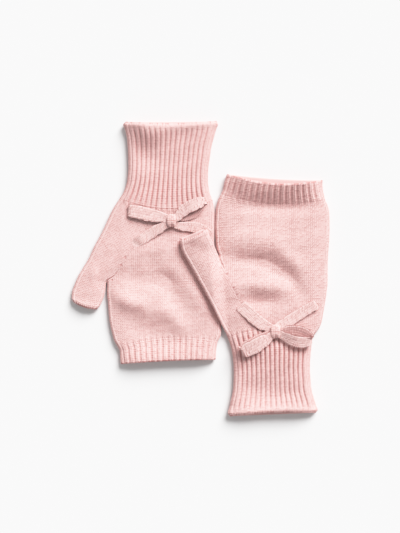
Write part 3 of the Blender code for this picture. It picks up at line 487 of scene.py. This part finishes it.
# ---- meshes from rings
class Sheet:
    """Vertices, faces and stitch coordinates of one piece, built from rings of keyed stations."""

    def __init__(self):
        self.points, self.relief, self.uv, self.faces = [], [], [], []

    def ring(self, keys, points, relief, uv):
        """Adds a ring's stations and returns it as (key, vertex) pairs."""
        start = len(self.points)
        self.points.extend(points)
        self.relief.extend(relief)
        self.uv.extend(uv)
        return [(key, start + k) for k, key in enumerate(keys)]

    def hoop(self, points, relief, uv, last_uv):
        """Adds a ring that ends where it starts, so that its last face has its own stitch place."""
        keys = list(range(len(points) + 1))
        return self.ring(keys, points + [points[0]], relief + [relief[0]], uv + [last_uv])

    def face(self, corners):
        self.faces.append(corners)

    def join(self, near, far):
        """Faces between two rings, from each key that both have to the next."""
        place = {key: k for k, (key, _) in enumerate(far)}
        shared = [(k, place[key]) for k, (key, _) in enumerate(near) if key in place]
        for (a, c), (b, d) in zip(shared, shared[1:]):
            self.face([v for _, v in near[a:b + 1]] + [v for _, v in reversed(far[c:d + 1])])

    def close(self, rings):
        """Faces along a row of rings and over its two ends."""
        for near, far in zip(rings, rings[1:]):
            self.join(near, far)
        for end in (rings[0], rings[-1]):
            self.face([v for _, v in end])

    def build(self, name):
        """The mesh object, welded where two stations are one place, facing out, shaded smooth."""
        mesh = bpy.data.meshes.new(name)
        mesh.from_pydata(self.points, [], self.faces)
        spread = np.asarray(self.uv, np.float32)
        loops = np.empty(len(mesh.loops), np.int32)
        mesh.loops.foreach_get("vertex_index", loops)
        layer = mesh.uv_layers.new(name="stitches")
        layer.data.foreach_set("uv", spread[loops].ravel())
        relief = mesh.attributes.new("relief", "FLOAT", "POINT")
        relief.data.foreach_set("value", np.asarray(self.relief, np.float32))
        work = bmesh.new()
        work.from_mesh(mesh)
        bmesh.ops.remove_doubles(work, verts=work.verts, dist=WELD)
        bmesh.ops.recalc_face_normals(work, faces=work.faces)
        work.to_mesh(mesh)
        work.free()
        mesh.shade_smooth()
        return placed(name, mesh)


# ---- cloth tubes
def fine_rows(rows):
    """Rows ROWS to a stitch along a piece, smooth through its sections."""
    rows = np.asarray(rows, float)
    middle = (rows[:, 0:2] + rows[:, 2:4]) / 2.0
    length = np.concatenate(([0.0], np.cumsum(np.hypot(*np.diff(middle, axis=0).T))))
    courses = max(2, round(length[-1] / COURSE))
    wanted = np.linspace(0.0, length[-1], courses * ROWS + 1)
    return length, wanted, curve_through(length, rows, wanted)


class Tube:
    """A knitted tube, folded flat, through its sections.

    Rows before closed_from stand open along the cut side, where another piece joins. columns is "upright"
    or "along" for plain knit, or a rib table with its count. mouth is the open end: "first" or "last"."""

    def __init__(self, name, side, rows, columns, mouth=None, cut="left", closed_from=0,
                 lift=on_surface, ghosts=(), marks=()):
        self.name, self.side, self.columns, self.cut = name, side, columns, cut
        self.lift, self.ghosts, self.marks = lift, ghosts, marks
        self.length, self.places, self.table = fine_rows(rows)
        self.count = len(self.places)
        self.fork = 0
        if closed_from:
            share = self.length[closed_from] / self.length[-1]
            self.fork = ROWS * round(share * (self.count - 1) / ROWS)
        middles = (self.table[:, 0:2] + self.table[:, 2:4]) / 2.0
        headings = np.gradient(middles, axis=0)
        self.headings = headings / np.hypot(*headings.T)[:, None]
        self.mouth = mouth
        self.sheet = Sheet()

    def row_at(self, j):
        row = dict(zip(SECTION, self.table[j]))
        row["open"] = 0.0 if j >= self.fork else min(max(row["open"], LEAST_OPEN), 1.0)
        row["width"] = math.hypot(row["x_right"] - row["x_left"], row["y_right"] - row["y_left"])
        row["full"] = 90.0 * (1.0 - row["open"])
        half = row["edge"] / 2.0
        cut_run = half * math.sin(math.radians(row["full"]))
        row["start"] = cut_run if self.cut == "left" else half
        row["end"] = cut_run if self.cut == "right" else half
        return row

    def stations(self, row, coarse):
        """Key, kind, run or angle, stitch place, height, tone of painted shade, leg and draw of each station
        of a ring.
        """
        out = []

        def arc(where, steps, sign):
            for n in steps:
                if not (coarse and n % COLUMNS):
                    c = n % COLUMNS
                    kept = smooth((FADE_END - 180.0 * n / ARC) / FADE_ARC)
                    out.append(((where, n), where, 180.0 * n / ARC, sign * n / COLUMNS,
                                WALE_HEIGHT[c] * kept, WALE_HEIGHT[c] * kept, LEG[c] * kept, WALE_DRAW[c]))

        def top():
            out.append(("TL", "top", row["start"], 0.0, SEAM_HEIGHT, SEAM_HEIGHT, 0.0, 0.0))
            span = row["width"] - row["start"] - row["end"]
            if isinstance(self.columns, str):
                for k, run in plain_columns(row, self.columns):
                    if not (coarse and k % (COARSE_WALES * COLUMNS)):
                        c = k % COLUMNS
                        out.append((("C", k), "top", run, k / COLUMNS,
                                    WALE_HEIGHT[c], WALE_HEIGHT[c], LEG[c], WALE_DRAW[c]))
            else:
                rib, ribs = self.columns
                for n in range(ribs):
                    for c, (place, height, leg, u) in enumerate(rib):
                        if n + c and not (coarse and c % COARSE_RIB):
                            run = row["start"] + (n + place) / ribs * span
                            out.append((("C", n, c), "top", run, n * 3.0 + u, height * row["rib"],
                                        (height - 1.0) * RIB_VALLEY_SHADE * row["rib"],
                                        leg, DRAW - 2.0 * DRAW * abs(2 * (u % 1) - 1)))
            out.append(("TR", "top", row["width"] - row["end"], 0.0, SEAM_HEIGHT, SEAM_HEIGHT, 0.0, 0.0))

        def under():
            span = row["width"] - row["start"] - row["end"]
            for n in range(UNDER_STEPS + 1):
                if not (coarse and n % COARSE_UNDER):
                    share = 1.0 - n / UNDER_STEPS
                    out.append((("U", n), "under", row["start"] + share * span, share * span / WALE,
                                0.0, 0.0, 0.0, 0.0))

        full = row["full"]
        groove = SEAM_HEIGHT * row["open"]
        high = [n for n in range(1, HALF_ARC) if 180.0 * n / ARC < full - ANGLE_SLACK]
        low = [n for n in range(HALF_ARC + 1, ARC) if 180.0 * n / ARC > 180.0 + ANGLE_SLACK - full]
        if self.cut == "left":
            out.append(("S1", "left", full, 0.0, groove, groove, 0.0, 0.0))
            arc("left", high[::-1], -1)
            top()
            arc("right", range(1, ARC), 1)
            under()
            arc("left", low[::-1], -1)
            out.append(("S2", "left", 180.0 - full, 0.0, 0.0, 0.0, 0.0, 0.0))
        else:
            out.append(("S1", "right", 180.0 - full, 0.0, 0.0, 0.0, 0.0, 0.0))
            arc("right", low, 1)
            under()
            arc("left", range(ARC - 1, 0, -1), -1)
            top()
            arc("right", high, 1)
            out.append(("S2", "right", full, 0.0, groove, groove, 0.0, 0.0))
        return out

    def ring(self, j, inset=0.0, out=0.0, coarse=False, calm=1.0):
        """Adds one ring at row j, at a depth in the wall, moved past the end by out."""
        row = self.row_at(j)
        keys, kinds, *numbers = zip(*self.stations(row, coarse))
        kinds = np.array(kinds)
        arcs = (kinds == "left") | (kinds == "right")
        spots, wales, heights, tones, legs, draws = np.array(numbers, float)
        width, half = row["width"], row["edge"] / 2.0
        stage = j % ROWS
        raised = np.zeros(len(keys))
        uneven = GRAIN[np.floor(wales).astype(int) % len(GRAIN), (j // ROWS) % len(GRAIN)]
        if inset == 0.0 or out:
            raised = calm * (heights + legs * ROW_HEIGHT[stage] + GRAIN_RISE * uneven) + row["swell"]
            raised[kinds == "under"] = 0.0
        angle = np.radians(np.where(arcs, spots, 0.0))
        radius = half - inset + raised
        low = (kinds == "under") | (arcs & (spots > 90.0 + ANGLE_SLACK))
        run = np.where(kinds == "left", row["start"] - radius * np.sin(angle), spots)
        run = np.where(kinds == "right", width - row["end"] + radius * np.sin(angle), run)
        share = run / width
        dip = np.where(low, row["under"], row["dip"])
        x = row["x_left"] + (row["x_right"] - row["x_left"]) * share
        y = row["y_left"] + (row["y_right"] - row["y_left"]) * share - 4.0 * share * (1.0 - share) * dip
        heading = self.headings[j]
        if inset == 0.0:
            x = x + heading[0] * draws * COURSE
            y = y + heading[1] * draws * COURSE
        away = out if self.mouth == "last" else -out
        x, y = x + heading[0] * away, y + heading[1] * away
        level = self.top_height(row, x, y, np.clip(run, row["start"], width - row["end"]))
        z = np.where(kinds == "top", level - inset + raised, 0.0)
        z = np.where(kinds == "under", inset, z)
        middle = np.where(low, half, level - half)
        z = np.where(arcs, np.maximum(middle + radius * np.cos(angle), inset * ARC_FLOOR), z)
        row_tone, dots = (1.0, DOT_TONE) if isinstance(self.columns, str) else (ROW_TONE, RIB_DOTS)
        # painted shade: the colour follows the relief, darker in the valleys and gaps between stitches, with
        # random tone per stitch
        shade = tones + row_tone * legs * ROW_HEIGHT[stage] + GRAIN_TONE * uneven
        shade = shade - dots * legs * np.clip(uneven, 0.0, 1.0) * (stage == 0)
        if inset == 0.0:
            rise, tint = self.accents(x, y, j)
            z = z + rise * (kinds == "top")
            shade = shade + tint * (kinds == "top")
        z = z + self.lift(x, y)
        points = np.stack((x - CENTRE[0], y - CENTRE[1], z), axis=1) * MM
        shade = np.where(kinds == "under", 0.0, shade)
        uv = np.stack((wales, j / ROWS + draws), axis=1)
        return self.sheet.ring(keys, points.tolist(), shade.tolist(), uv.tolist())

    def top_height(self, row, x, y, run):
        """Height of the upper panel: crowned between its side folds, with folds and slow waves."""
        fill = np.ones_like(x)
        for gap, side in ((run - row["start"], "left"), (row["width"] - row["end"] - run, "right")):
            opened = row["open"] if side == self.cut else 0.0
            fill = fill * (opened + (1.0 - opened) * crowned(gap))
        soft = folds(self.side, x, y)
        for rise, scale, seed in UNEVENNESS:
            soft = soft + rise * drift(x, y, scale, seed)
        return row["edge"] + (row["crown"] + soft) * fill

    def accents(self, x, y, j):
        """Rise, and a tint of painted shade, where ribs die out into plain knit next to a seam and at
        worked-in marks.
        """
        rise, tint = np.zeros_like(x), np.zeros_like(x)
        for end, x_left, width, rib, ribs, height in self.ghosts:
            at = self.places[j] if end == "first" else self.places[-1] - self.places[j]
            fade = height * math.exp(-(at / GHOST_REACH) ** 2)
            shares, heights = zip(*[row[:2] for row in rib], (1.0, rib[0][1]))
            shape = np.interp((x - x_left) / width * ribs % 1.0, shares, heights)
            rise += fade * shape
            tint += RIB_VALLEY_SHADE * fade * (shape - 1.0)
        for mx, my in self.marks:
            dent = np.exp(-((x - mx) ** 2 + (y - my) ** 2) / MARK_REACH ** 2)
            rise -= MARK_DEPTH * dent
            tint -= MARK_DEPTH * dent
        return rise, tint

    def cut_size(self):
        """Widest round, length and area of the flat cloth, all round the tube, in metres."""
        rounds = []
        for j in range(self.count):
            row = self.row_at(j)
            folded = row["edge"] / 2.0 * (math.pi + 2.0 * math.radians(row["full"]))
            rounds.append(2.0 * (row["width"] - row["start"] - row["end"]) + folded)
        area = float(np.mean(rounds)) * self.places[-1]
        return max(rounds) * MM, float(self.places[-1]) * MM, area * MM * MM

    def make(self):
        """All rings and the faces between them."""
        sheet, last = self.sheet, self.count - 1
        outer = [self.ring(j) for j in range(self.count)]
        for near, far in zip(outer, outer[1:]):
            sheet.join(near, far)
        inner = {j: self.ring(j, WALL, coarse=True) for j in range(0, self.count, ROWS)}
        ends = {"first": 0, "last": last}
        skipped = None
        if self.mouth:
            j = ends[self.mouth]
            near = outer[j]
            for degrees in ROLL_STEPS:
                a = math.radians(degrees)
                inset = WALL / 2.0 * (1.0 - math.cos(a))
                calm = max(0.0, math.cos(a / 2)) * ROLL_CALM
                rolled = self.ring(j, inset, ROLL * math.sin(a) + ROLL_LEAST, calm=calm)
                sheet.join(near, rolled)
                near = rolled
            beyond = ROWS if self.mouth == "first" else last - ROWS
            sheet.join(near, inner[beyond])
            skipped = j
        steps = [j for j in range(0, self.count, ROWS) if j != skipped]
        for a, b in zip(steps, steps[1:]):
            sheet.join(inner[a], inner[b])
        for end, j in ends.items():
            if end != self.mouth:
                sheet.join(outer[j], inner[j])
        for j in range(0, self.fork, ROWS):
            for which in (0, -1):
                edge = [outer[k][which][1] for k in range(j, j + ROWS + 1)]
                sheet.face(edge + [inner[j + ROWS][which][1], inner[j][which][1]])
        return sheet.build(self.name)


def plain_columns(row, spread):
    """Numbers and runs of the plain knit's columns across an upper panel: at even x, or along the piece."""
    width = row["width"]
    low, high = row["start"], width - row["end"]
    step = WALE / COLUMNS
    lean, first = 1.0, 0.0
    if spread == "upright":
        lean, first = (row["x_right"] - row["x_left"]) / width, row["x_left"]
    k = np.arange(math.ceil((first + low * lean) / step), math.floor((first + high * lean) / step) + 1)
    runs = (k * step - first) / lean
    keep = (runs > low + COLUMN_MARGIN * step) & (runs < high - COLUMN_MARGIN * step)
    return list(zip(k[keep].tolist(), runs[keep].tolist()))


# ---- the pieces of one mitten
def part_of(values, start, end):
    """The stretch of a section between two shares of its width, with the curve that the whole one has."""
    x0, y0, x1, y1, dip = values[:5]
    ends = []
    for share in (start, end):
        ends += [x0 + (x1 - x0) * share, y0 + (y1 - y0) * share - 4.0 * share * (1.0 - share) * dip]
    dip = dip * (end - start) ** 2
    return (*ends, dip, dip, values[6], values[7])


def with_open(rows, opened=0.0):
    """Rows filled up to SECTION's length."""
    return [(*row, *(0.0, 0.0)[len(row) - 8:], opened) for row in rows]


def make_cuff(side):
    rows = with_open(CUFF_TABLES[side] + (WRISTS[side],))
    return Tube(side + "_cuff_knit", side, rows, (CUFF_RIB, CUFF_RIBS[side]), mouth="first")


def make_band(side):
    rows = with_open((KNUCKLES[side],) + BAND_TABLES[side])
    return Tube(side + "_band_knit", side, rows, (BAND_RIB, BAND_RIBS), mouth="last")


def ghost(end, line, rib, ribs):
    """Ribs that run on from the piece beyond a seam: end, left x, width, rib table, count and height."""
    half = line[6] / 2.0
    return end, line[0] + half, line[2] - line[0] - 2.0 * half, rib, ribs, line[8]


def wrist_ghost(side):
    return ghost("first", WRISTS[side], CUFF_RIB, CUFF_RIBS[side])


def make_hand(side):
    rows = with_open([part_of(WRISTS[side], THUMB_SHARE + SPLIT, 1.0)], 1.0)
    for (x, y, opened), (far_x, far_y, dip) in zip(GUSSET_TABLES[side], HAND_SIDE_TABLES[side]):
        rows += with_open([(x, y, far_x, far_y, dip, dip, PALM_EDGE, PALM_CROWN)], opened)
    closed_from = len(rows)
    rows += with_open(HAND_TABLES[side] + (KNUCKLES[side],))
    ghosts = (wrist_ghost(side), ghost("last", KNUCKLES[side], BAND_RIB, BAND_RIBS))
    lift = hand_lift if side == "right" else on_surface
    return Tube(side + "_hand_knit", side, rows, "upright", closed_from=closed_from, lift=lift,
                ghosts=ghosts, marks=MARKS[side])


def make_thumb(side):
    rows = with_open([part_of(WRISTS[side], 0.0, THUMB_SHARE - SPLIT)], 1.0)
    for (x, y, opened), (far_x, far_y) in zip(GUSSET_TABLES[side], THUMB_SIDE_TABLES[side]):
        rows += with_open([(far_x, far_y, x, y, 0.0, 0.0, PALM_EDGE, PALM_CROWN)], opened)
    closed_from = len(rows)
    rows += with_open(THUMB_TABLES[side])
    lift = thumb_lift if side == "right" else on_surface
    return Tube(side + "_thumb_knit", side, rows, "along", mouth="last", cut="right", closed_from=closed_from,
                lift=lift, ghosts=(wrist_ghost(side),), marks=MARKS[side])


# ---- bows
def surface_height(side, x, y):
    seam, cuff_side = WRIST_LINES[side]
    on_cuff = smooth(0.5 + (y - seam) * cuff_side / WRIST_FADE)
    return PALM_EDGE + PALM_CROWN + folds(side, x, y) + CUFF_CLEAR * on_cuff


def wavering(seed, place):
    """An unevenness from -1 to 1 that runs on smoothly along a strap."""
    k, share = int(place), place % 1.0
    return GRAIN[seed, k] * (1.0 - share) + GRAIN[seed, k + 1] * share


def strap_section():
    """Round a strap: place across, share of the thickness, column, wale and how flat it lies there."""
    count = STRAP_WALES * COLUMNS
    stations = []
    for face in (1.0, -1.0):
        for k in range(count + 1):
            s = face * (2.0 * k / count - 1.0)
            c = k % COLUMNS
            rounded = (1.0 - abs(s) ** EDGE_POWER) ** 0.5
            body = (FLAT_BODY + EDGE_BODY * s * s) * rounded
            stations.append((s, face * body, c, k / COLUMNS, rounded))
    return stations


def make_strap(name, table):
    """A flat knitted cord on its solid's line, its edges rolled, its free end cast off."""
    side = name.split("_")[0]
    rows = np.array([(*row, 0.0)[:6] for row in table])
    ends = np.array(KNOTS[side][:2])
    loop = "loop" in name
    for at in ((0, -1) if loop else (0,)):
        extra = rows[at].copy()
        extra[0:2] += (ends - extra[0:2]) * INTO_KNOT
        rows = np.vstack((extra, rows)) if at == 0 else np.vstack((rows, extra))
    height = surface_height(side, rows[:, 0], rows[:, 1]) + rows[:, 2]
    rows = np.column_stack((rows[:, 0], rows[:, 1], height, rows[:, 3:]))
    length = np.concatenate(([0.0], np.cumsum(np.linalg.norm(np.diff(rows[:, :3], axis=0), axis=1))))
    courses = round(length[-1] / COURSE)
    wanted = np.linspace(0.0, length[-1], courses * ROWS + 1)
    fine = curve_through(length, rows, wanted)
    middles = fine[:, :3]
    middles[:, 2] -= SINK.get(name, 0.0) * smooth((wanted - wanted[-1]) / ENDS.get(name, TAPER)[0] + 1.0)
    ahead = np.gradient(middles, axis=0)
    ahead /= np.linalg.norm(ahead, axis=1)[:, None]
    turn, lean = np.radians(fine[:, 4]), np.radians(fine[:, 5])
    wide = np.stack((np.cos(turn) * np.cos(lean), np.sin(turn) * np.cos(lean), np.sin(lean)), axis=1)
    wide -= ahead * np.sum(wide * ahead, axis=1)[:, None]
    wide /= np.linalg.norm(wide, axis=1)[:, None]
    thick = np.cross(ahead, wide)
    rising = 1.0 if middles[0, 2] < middles[-1, 2] else -1.0
    inside = rising * math.copysign(1.0, thick[0, 2]) if loop else 0.0
    stations = strap_section()
    seed = SEED_STEP * sorted(STRAP_TABLES).index(name)
    sheet = Sheet()
    rings = []
    last = len(fine) - 1
    for j in range(len(fine)):
        shrink = 1.0
        if not loop:
            reach, thin = ENDS.get(name, TAPER)
            from_end = min(1.0, (wanted[-1] - wanted[j]) / reach)
            shrink = thin + (1.0 - thin) * math.sqrt(1.0 - (1.0 - from_end) ** 2)
        points, shades, uvs = [], [], []
        stage = j % ROWS
        lumps = [EDGE_LUMP * wavering(seed + k, j / (EDGE_COURSES * ROWS)) for k in (0, 1)]
        for s, face, c, u, rounded in stations:
            uneven = GRAIN[(seed + int(u)) % len(GRAIN), (j // ROWS) % len(GRAIN)]
            relief = WALE_HEIGHT[c] + LEG[c] * ROW_HEIGHT[stage] + STRAP_GRAIN * GRAIN_RISE * uneven
            relief *= EDGE_RELIEF + (1.0 - EDGE_RELIEF) * rounded
            up = (face * shrink + shrink - 1.0) * STRAP / 2.0 + math.copysign(relief, face * relief)
            side_reach = s * (fine[j, 3] / 2.0 + lumps[s > 0.0] * s ** LUMP_POWER)
            side_reach *= END_WIDTH + (1.0 - END_WIDTH) * shrink
            place = middles[j] + wide[j] * side_reach + thick[j] * up
            place = place + ahead[j] * (WALE_DRAW[c] * COURSE * rounded * (0 < j < last))
            points.append(((place[0] - CENTRE[0]) * MM, (place[1] - CENTRE[1]) * MM, place[2] * MM))
            # painted shade: dark dots in the gaps between stitches, and the colour follows the relief
            dot = STRAP_DOTS * DOT_TONE * LEG[c] * max(0.0, uneven) * (stage == 0)
            # painted shade: the inner face of a loop is darkened
            inside_shade = INSIDE_SHADE * rounded * (face * inside > 0.0)
            shades.append(WALE_HEIGHT[c] + LEG[c] * ROW_HEIGHT[stage] + GRAIN_TONE * uneven - dot - inside_shade)
            uvs.append((u, j / ROWS + WALE_DRAW[c]))
        rings.append(sheet.hoop(points, shades, uvs, uvs[0]))
    sheet.close(rings)
    flat = (fine[:, 3].max() * MM, wanted[-1] * MM, fine[:, 3].mean() * wanted[-1] * MM * MM)
    return sheet.build(name + "_knit"), flat


def make_knot(side):
    """The wound middle of a bow: its stitches run round, across the straps."""
    kx, ky, wide, deep, high = KNOTS[side]
    base = float(surface_height(side, np.array(kx), np.array(ky))) + KNOT_CLEAR
    around = KNOT_COURSES * ROWS
    columns = KNOT_WALES * COLUMNS
    sheet = Sheet()
    rings = []
    for k in range(-1, columns + 2):
        s = max(-KNOT_END, min(KNOT_END, 2.0 * k / columns - 1.0))
        body = (1.0 - min(1.0, abs(s) / KNOT_CLOSE) ** KNOT_POWERS[0]) ** KNOT_POWERS[1]
        c = k % COLUMNS
        points, shades, uvs = [], [], []
        for n in range(around):
            a = math.tau * (n / around)
            uneven = GRAIN[(k // COLUMNS) % len(GRAIN), n // ROWS + KNOT_GRAIN_ROW]
            relief = (WALE_HEIGHT[c] + KNOT_ROWS * LEG[c] * ROW_HEIGHT[n % ROWS]) * KNOT_RISE
            relief = relief * min(1.0, body * KNOT_FADE) + KNOT_GRAIN * GRAIN_RISE * uneven
            cy, cz = (math.copysign(abs(v) ** KNOT_SQUARE, v) for v in (math.cos(a), math.sin(a)))
            reach = body + relief / KNOT_REACH
            points.append((
                (kx - CENTRE[0] + s * wide / 2.0 * KNOT_WIDE) * MM,
                (ky - CENTRE[1] + cy * deep / 2.0 * reach) * MM,
                (base + high / 2.0 + cz * high / 2.0 * reach) * MM,
            ))
            # painted shade: the knot's colour follows its relief, with dark dots in the gaps
            shades.append(relief - STRAP_DOTS * DOT_TONE * LEG[c] * max(0.0, uneven) * (n % ROWS == 0))
            uvs.append((k / COLUMNS, n / ROWS))
        rings.append(sheet.hoop(points, shades, uvs, (uvs[0][0], around / ROWS)))
    sheet.close(rings)
    return sheet.build(side + "_bow_knot_knit"), (wide * MM, KNOT_ROUND * (deep + high) * MM, None)


# ---- yarn
class Nodes:
    """Short ways to build a node tree."""

    def __init__(self, tree):
        self.tree = tree

    def add(self, kind, **settings):
        node = self.tree.nodes.new(kind)
        for key, value in settings.items():
            setattr(node, key, value)
        return node

    def feed(self, node, values):
        """Links or numbers on a node's inputs."""
        for name, value in values.items():
            if isinstance(value, bpy.types.NodeSocket):
                self.tree.links.new(value, node.inputs[name])
            else:
                node.inputs[name].default_value = value

    def fed(self, kind, values, output=0, **settings):
        node = self.add(kind, **settings)
        self.feed(node, values)
        return node.outputs[output]

    def math(self, kind, *values):
        return self.fed("ShaderNodeMath", dict(enumerate(values)), operation=kind)

    def noise(self, spot, scale, detail):
        return self.fed("ShaderNodeTexNoise", {"Vector": spot, "Scale": scale, "Detail": detail})

    def ramp(self, value, low, high):
        return self.fed("ShaderNodeMapRange", {0: value, 1: low, 2: high}, interpolation_type="SMOOTHSTEP")


def yarn(name, crest, valley):
    """Soft brushed wool: stitches, fibres and a slow mottle, from the stitch coordinates and the relief, with
    painted shade that darkens the valleys between stitches and ribs.
    """
    paint, shader = plain_paint(name)
    nodes = Nodes(paint.node_tree)
    place = nodes.add("ShaderNodeUVMap", uv_map="stitches")
    split = nodes.add("ShaderNodeSeparateXYZ")
    nodes.feed(split, {0: place.outputs[0]})
    u, v = split.outputs[0], split.outputs[1]
    middle = nodes.math("ABSOLUTE", nodes.math("MULTIPLY_ADD", nodes.math("FRACT", u), 2.0, -1.0))
    phase = nodes.math("ADD", v, nodes.math("MULTIPLY_ADD", middle, 2.0 * DRAW, -DRAW))
    across = nodes.math("ABSOLUTE", nodes.math("SINE", nodes.math("MULTIPLY", u, math.tau)))
    along = nodes.math("COSINE", nodes.math("MULTIPLY", nodes.math("SUBTRACT", phase, 0.5), math.tau))
    stitch = nodes.math("MULTIPLY", across, nodes.math("MULTIPLY_ADD", along, ROW_DEPTH, 1.0 - ROW_DEPTH))

    spot = nodes.add("ShaderNodeTexCoord").outputs["Object"]
    fibre = nodes.noise(spot, FIBRE_SCALE, FIBRE_DETAIL)
    mottle = nodes.noise(spot, MOTTLE_SCALE, MOTTLE_DETAIL)
    relief = nodes.add("ShaderNodeAttribute", attribute_name="relief")

    raised = nodes.ramp(relief.outputs["Fac"], RELIEF_LOW, RELIEF_HIGH)
    height = nodes.math("MULTIPLY_ADD", stitch, STITCH_SHARE, nodes.math("MULTIPLY", raised, RELIEF_SHARE))
    height = nodes.math("ADD", height, nodes.math("MULTIPLY_ADD", fibre, FIBRE_TONE, -FIBRE_TONE / 2.0))
    tone = nodes.fed("ShaderNodeMix", {
        0: nodes.ramp(height, 0.0, ALL_CREST), 6: (*valley, 1.0), 7: (*crest, 1.0),
    }, output=2, data_type="RGBA")
    shaded = nodes.fed("ShaderNodeHueSaturation", {
        "Color": tone, "Value": nodes.math("MULTIPLY_ADD", mottle, MOTTLE_TONE, MOTTLE_BASE),
    })
    bump = nodes.fed("ShaderNodeBump", {
        "Strength": BUMP_STRENGTH, "Distance": BUMP_DISTANCE,
        "Height": nodes.math("MULTIPLY_ADD", fibre, FIBRE_BUMP, stitch),
    })
    nodes.feed(shader, {"Base Color": shaded, "Normal": bump, **YARN_SURFACE})
    return paint


# ---- floor, light, camera
def make_floor():
    mesh = bpy.data.meshes.new("floor")
    corners = [(x * FLOOR_HALF, y * FLOOR_HALF, FLOOR_LEVEL) for x, y in ((-1, -1), (1, -1), (1, 1), (-1, 1))]
    mesh.from_pydata(corners, [], [(0, 1, 2, 3)])
    paint, shader = plain_paint("floor")
    shader.inputs["Base Color"].default_value = (FLOOR_TONE, FLOOR_TONE, FLOOR_TONE, 1.0)
    shader.inputs["Roughness"].default_value = 1.0
    shader.inputs["Specular IOR Level"].default_value = 0.0
    mesh.materials.append(paint)
    placed("floor", mesh)


def make_light():
    world = bpy.data.worlds.new("studio")
    world.use_nodes = True
    sky = world.node_tree.nodes["Background"]
    sky.inputs[0].default_value = (1.0, 1.0, 1.0, 1.0)
    sky.inputs[1].default_value = SKY
    bpy.context.scene.world = world
    lamp = bpy.data.lights.new("key", "SUN")
    lamp.energy = KEY
    lamp.angle = math.radians(KEY_ANGLE)
    key = placed("key", lamp)
    key.rotation_mode = "QUATERNION"
    key.rotation_quaternion = Vector(KEY_FROM).to_track_quat("Z", "Y")


def make_camera():
    scene = bpy.context.scene
    data = bpy.data.cameras.new("camera")
    data.lens, data.sensor_width = LENS, SENSOR
    camera = placed("camera", data)
    camera.location = (VIEW_X, VIEW_Y, VIEW_LONG * data.lens / data.sensor_width + VIEW_LEVEL)
    data.clip_start, data.clip_end = CLIPS
    scene.camera = camera
    film = scene.view_settings
    film.view_transform = "Standard"
    film.use_curve_mapping = True
    brightest = SHOULDER[-1][0]
    film.curve_mapping.white_level = (brightest,) * 3
    points = film.curve_mapping.curves[3].points
    points[-1].location = (1.0, SHOULDER[-1][1])
    for seen, shown in SHOULDER[1:-1]:
        points.new(seen / brightest, shown)
    film.curve_mapping.update()


# ---- all of it
def dress(piece, node, paint, flat, held):
    """Yarn on a piece, which hangs from the root, with its solid hidden. The flat size is not used."""
    piece.data.materials.append(paint)
    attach(piece, "root")
    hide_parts(node)
    width, length, area = flat
    width = max(width, NARROWEST)
    [name + "_knit" for name in RESTS.get(node, ())]


def main():
    paints = {key: yarn(key + "_yarn", *tones) for key, tones in YARNS.items()}
    makers = {"cuff": make_cuff, "hand": make_hand, "thumb": make_thumb, "band": make_band}
    for side in ("left", "right"):
        for kind, maker in makers.items():
            tube = maker(side)
            look = "hand" if kind == "thumb" else kind
            dress(tube.make(), side + "_" + kind, paints[look], tube.cut_size(), "laid")
        knot, flat = make_knot(side)
        dress(knot, side + "_bow_knot", paints["bow"], flat, "folded")
    for name, table in STRAP_TABLES.items():
        piece, flat = make_strap(name, table)
        dress(piece, name, paints["bow"], flat, "folded" if "loop" in name else "laid")
    make_floor()
    make_light()
    make_camera()


main()
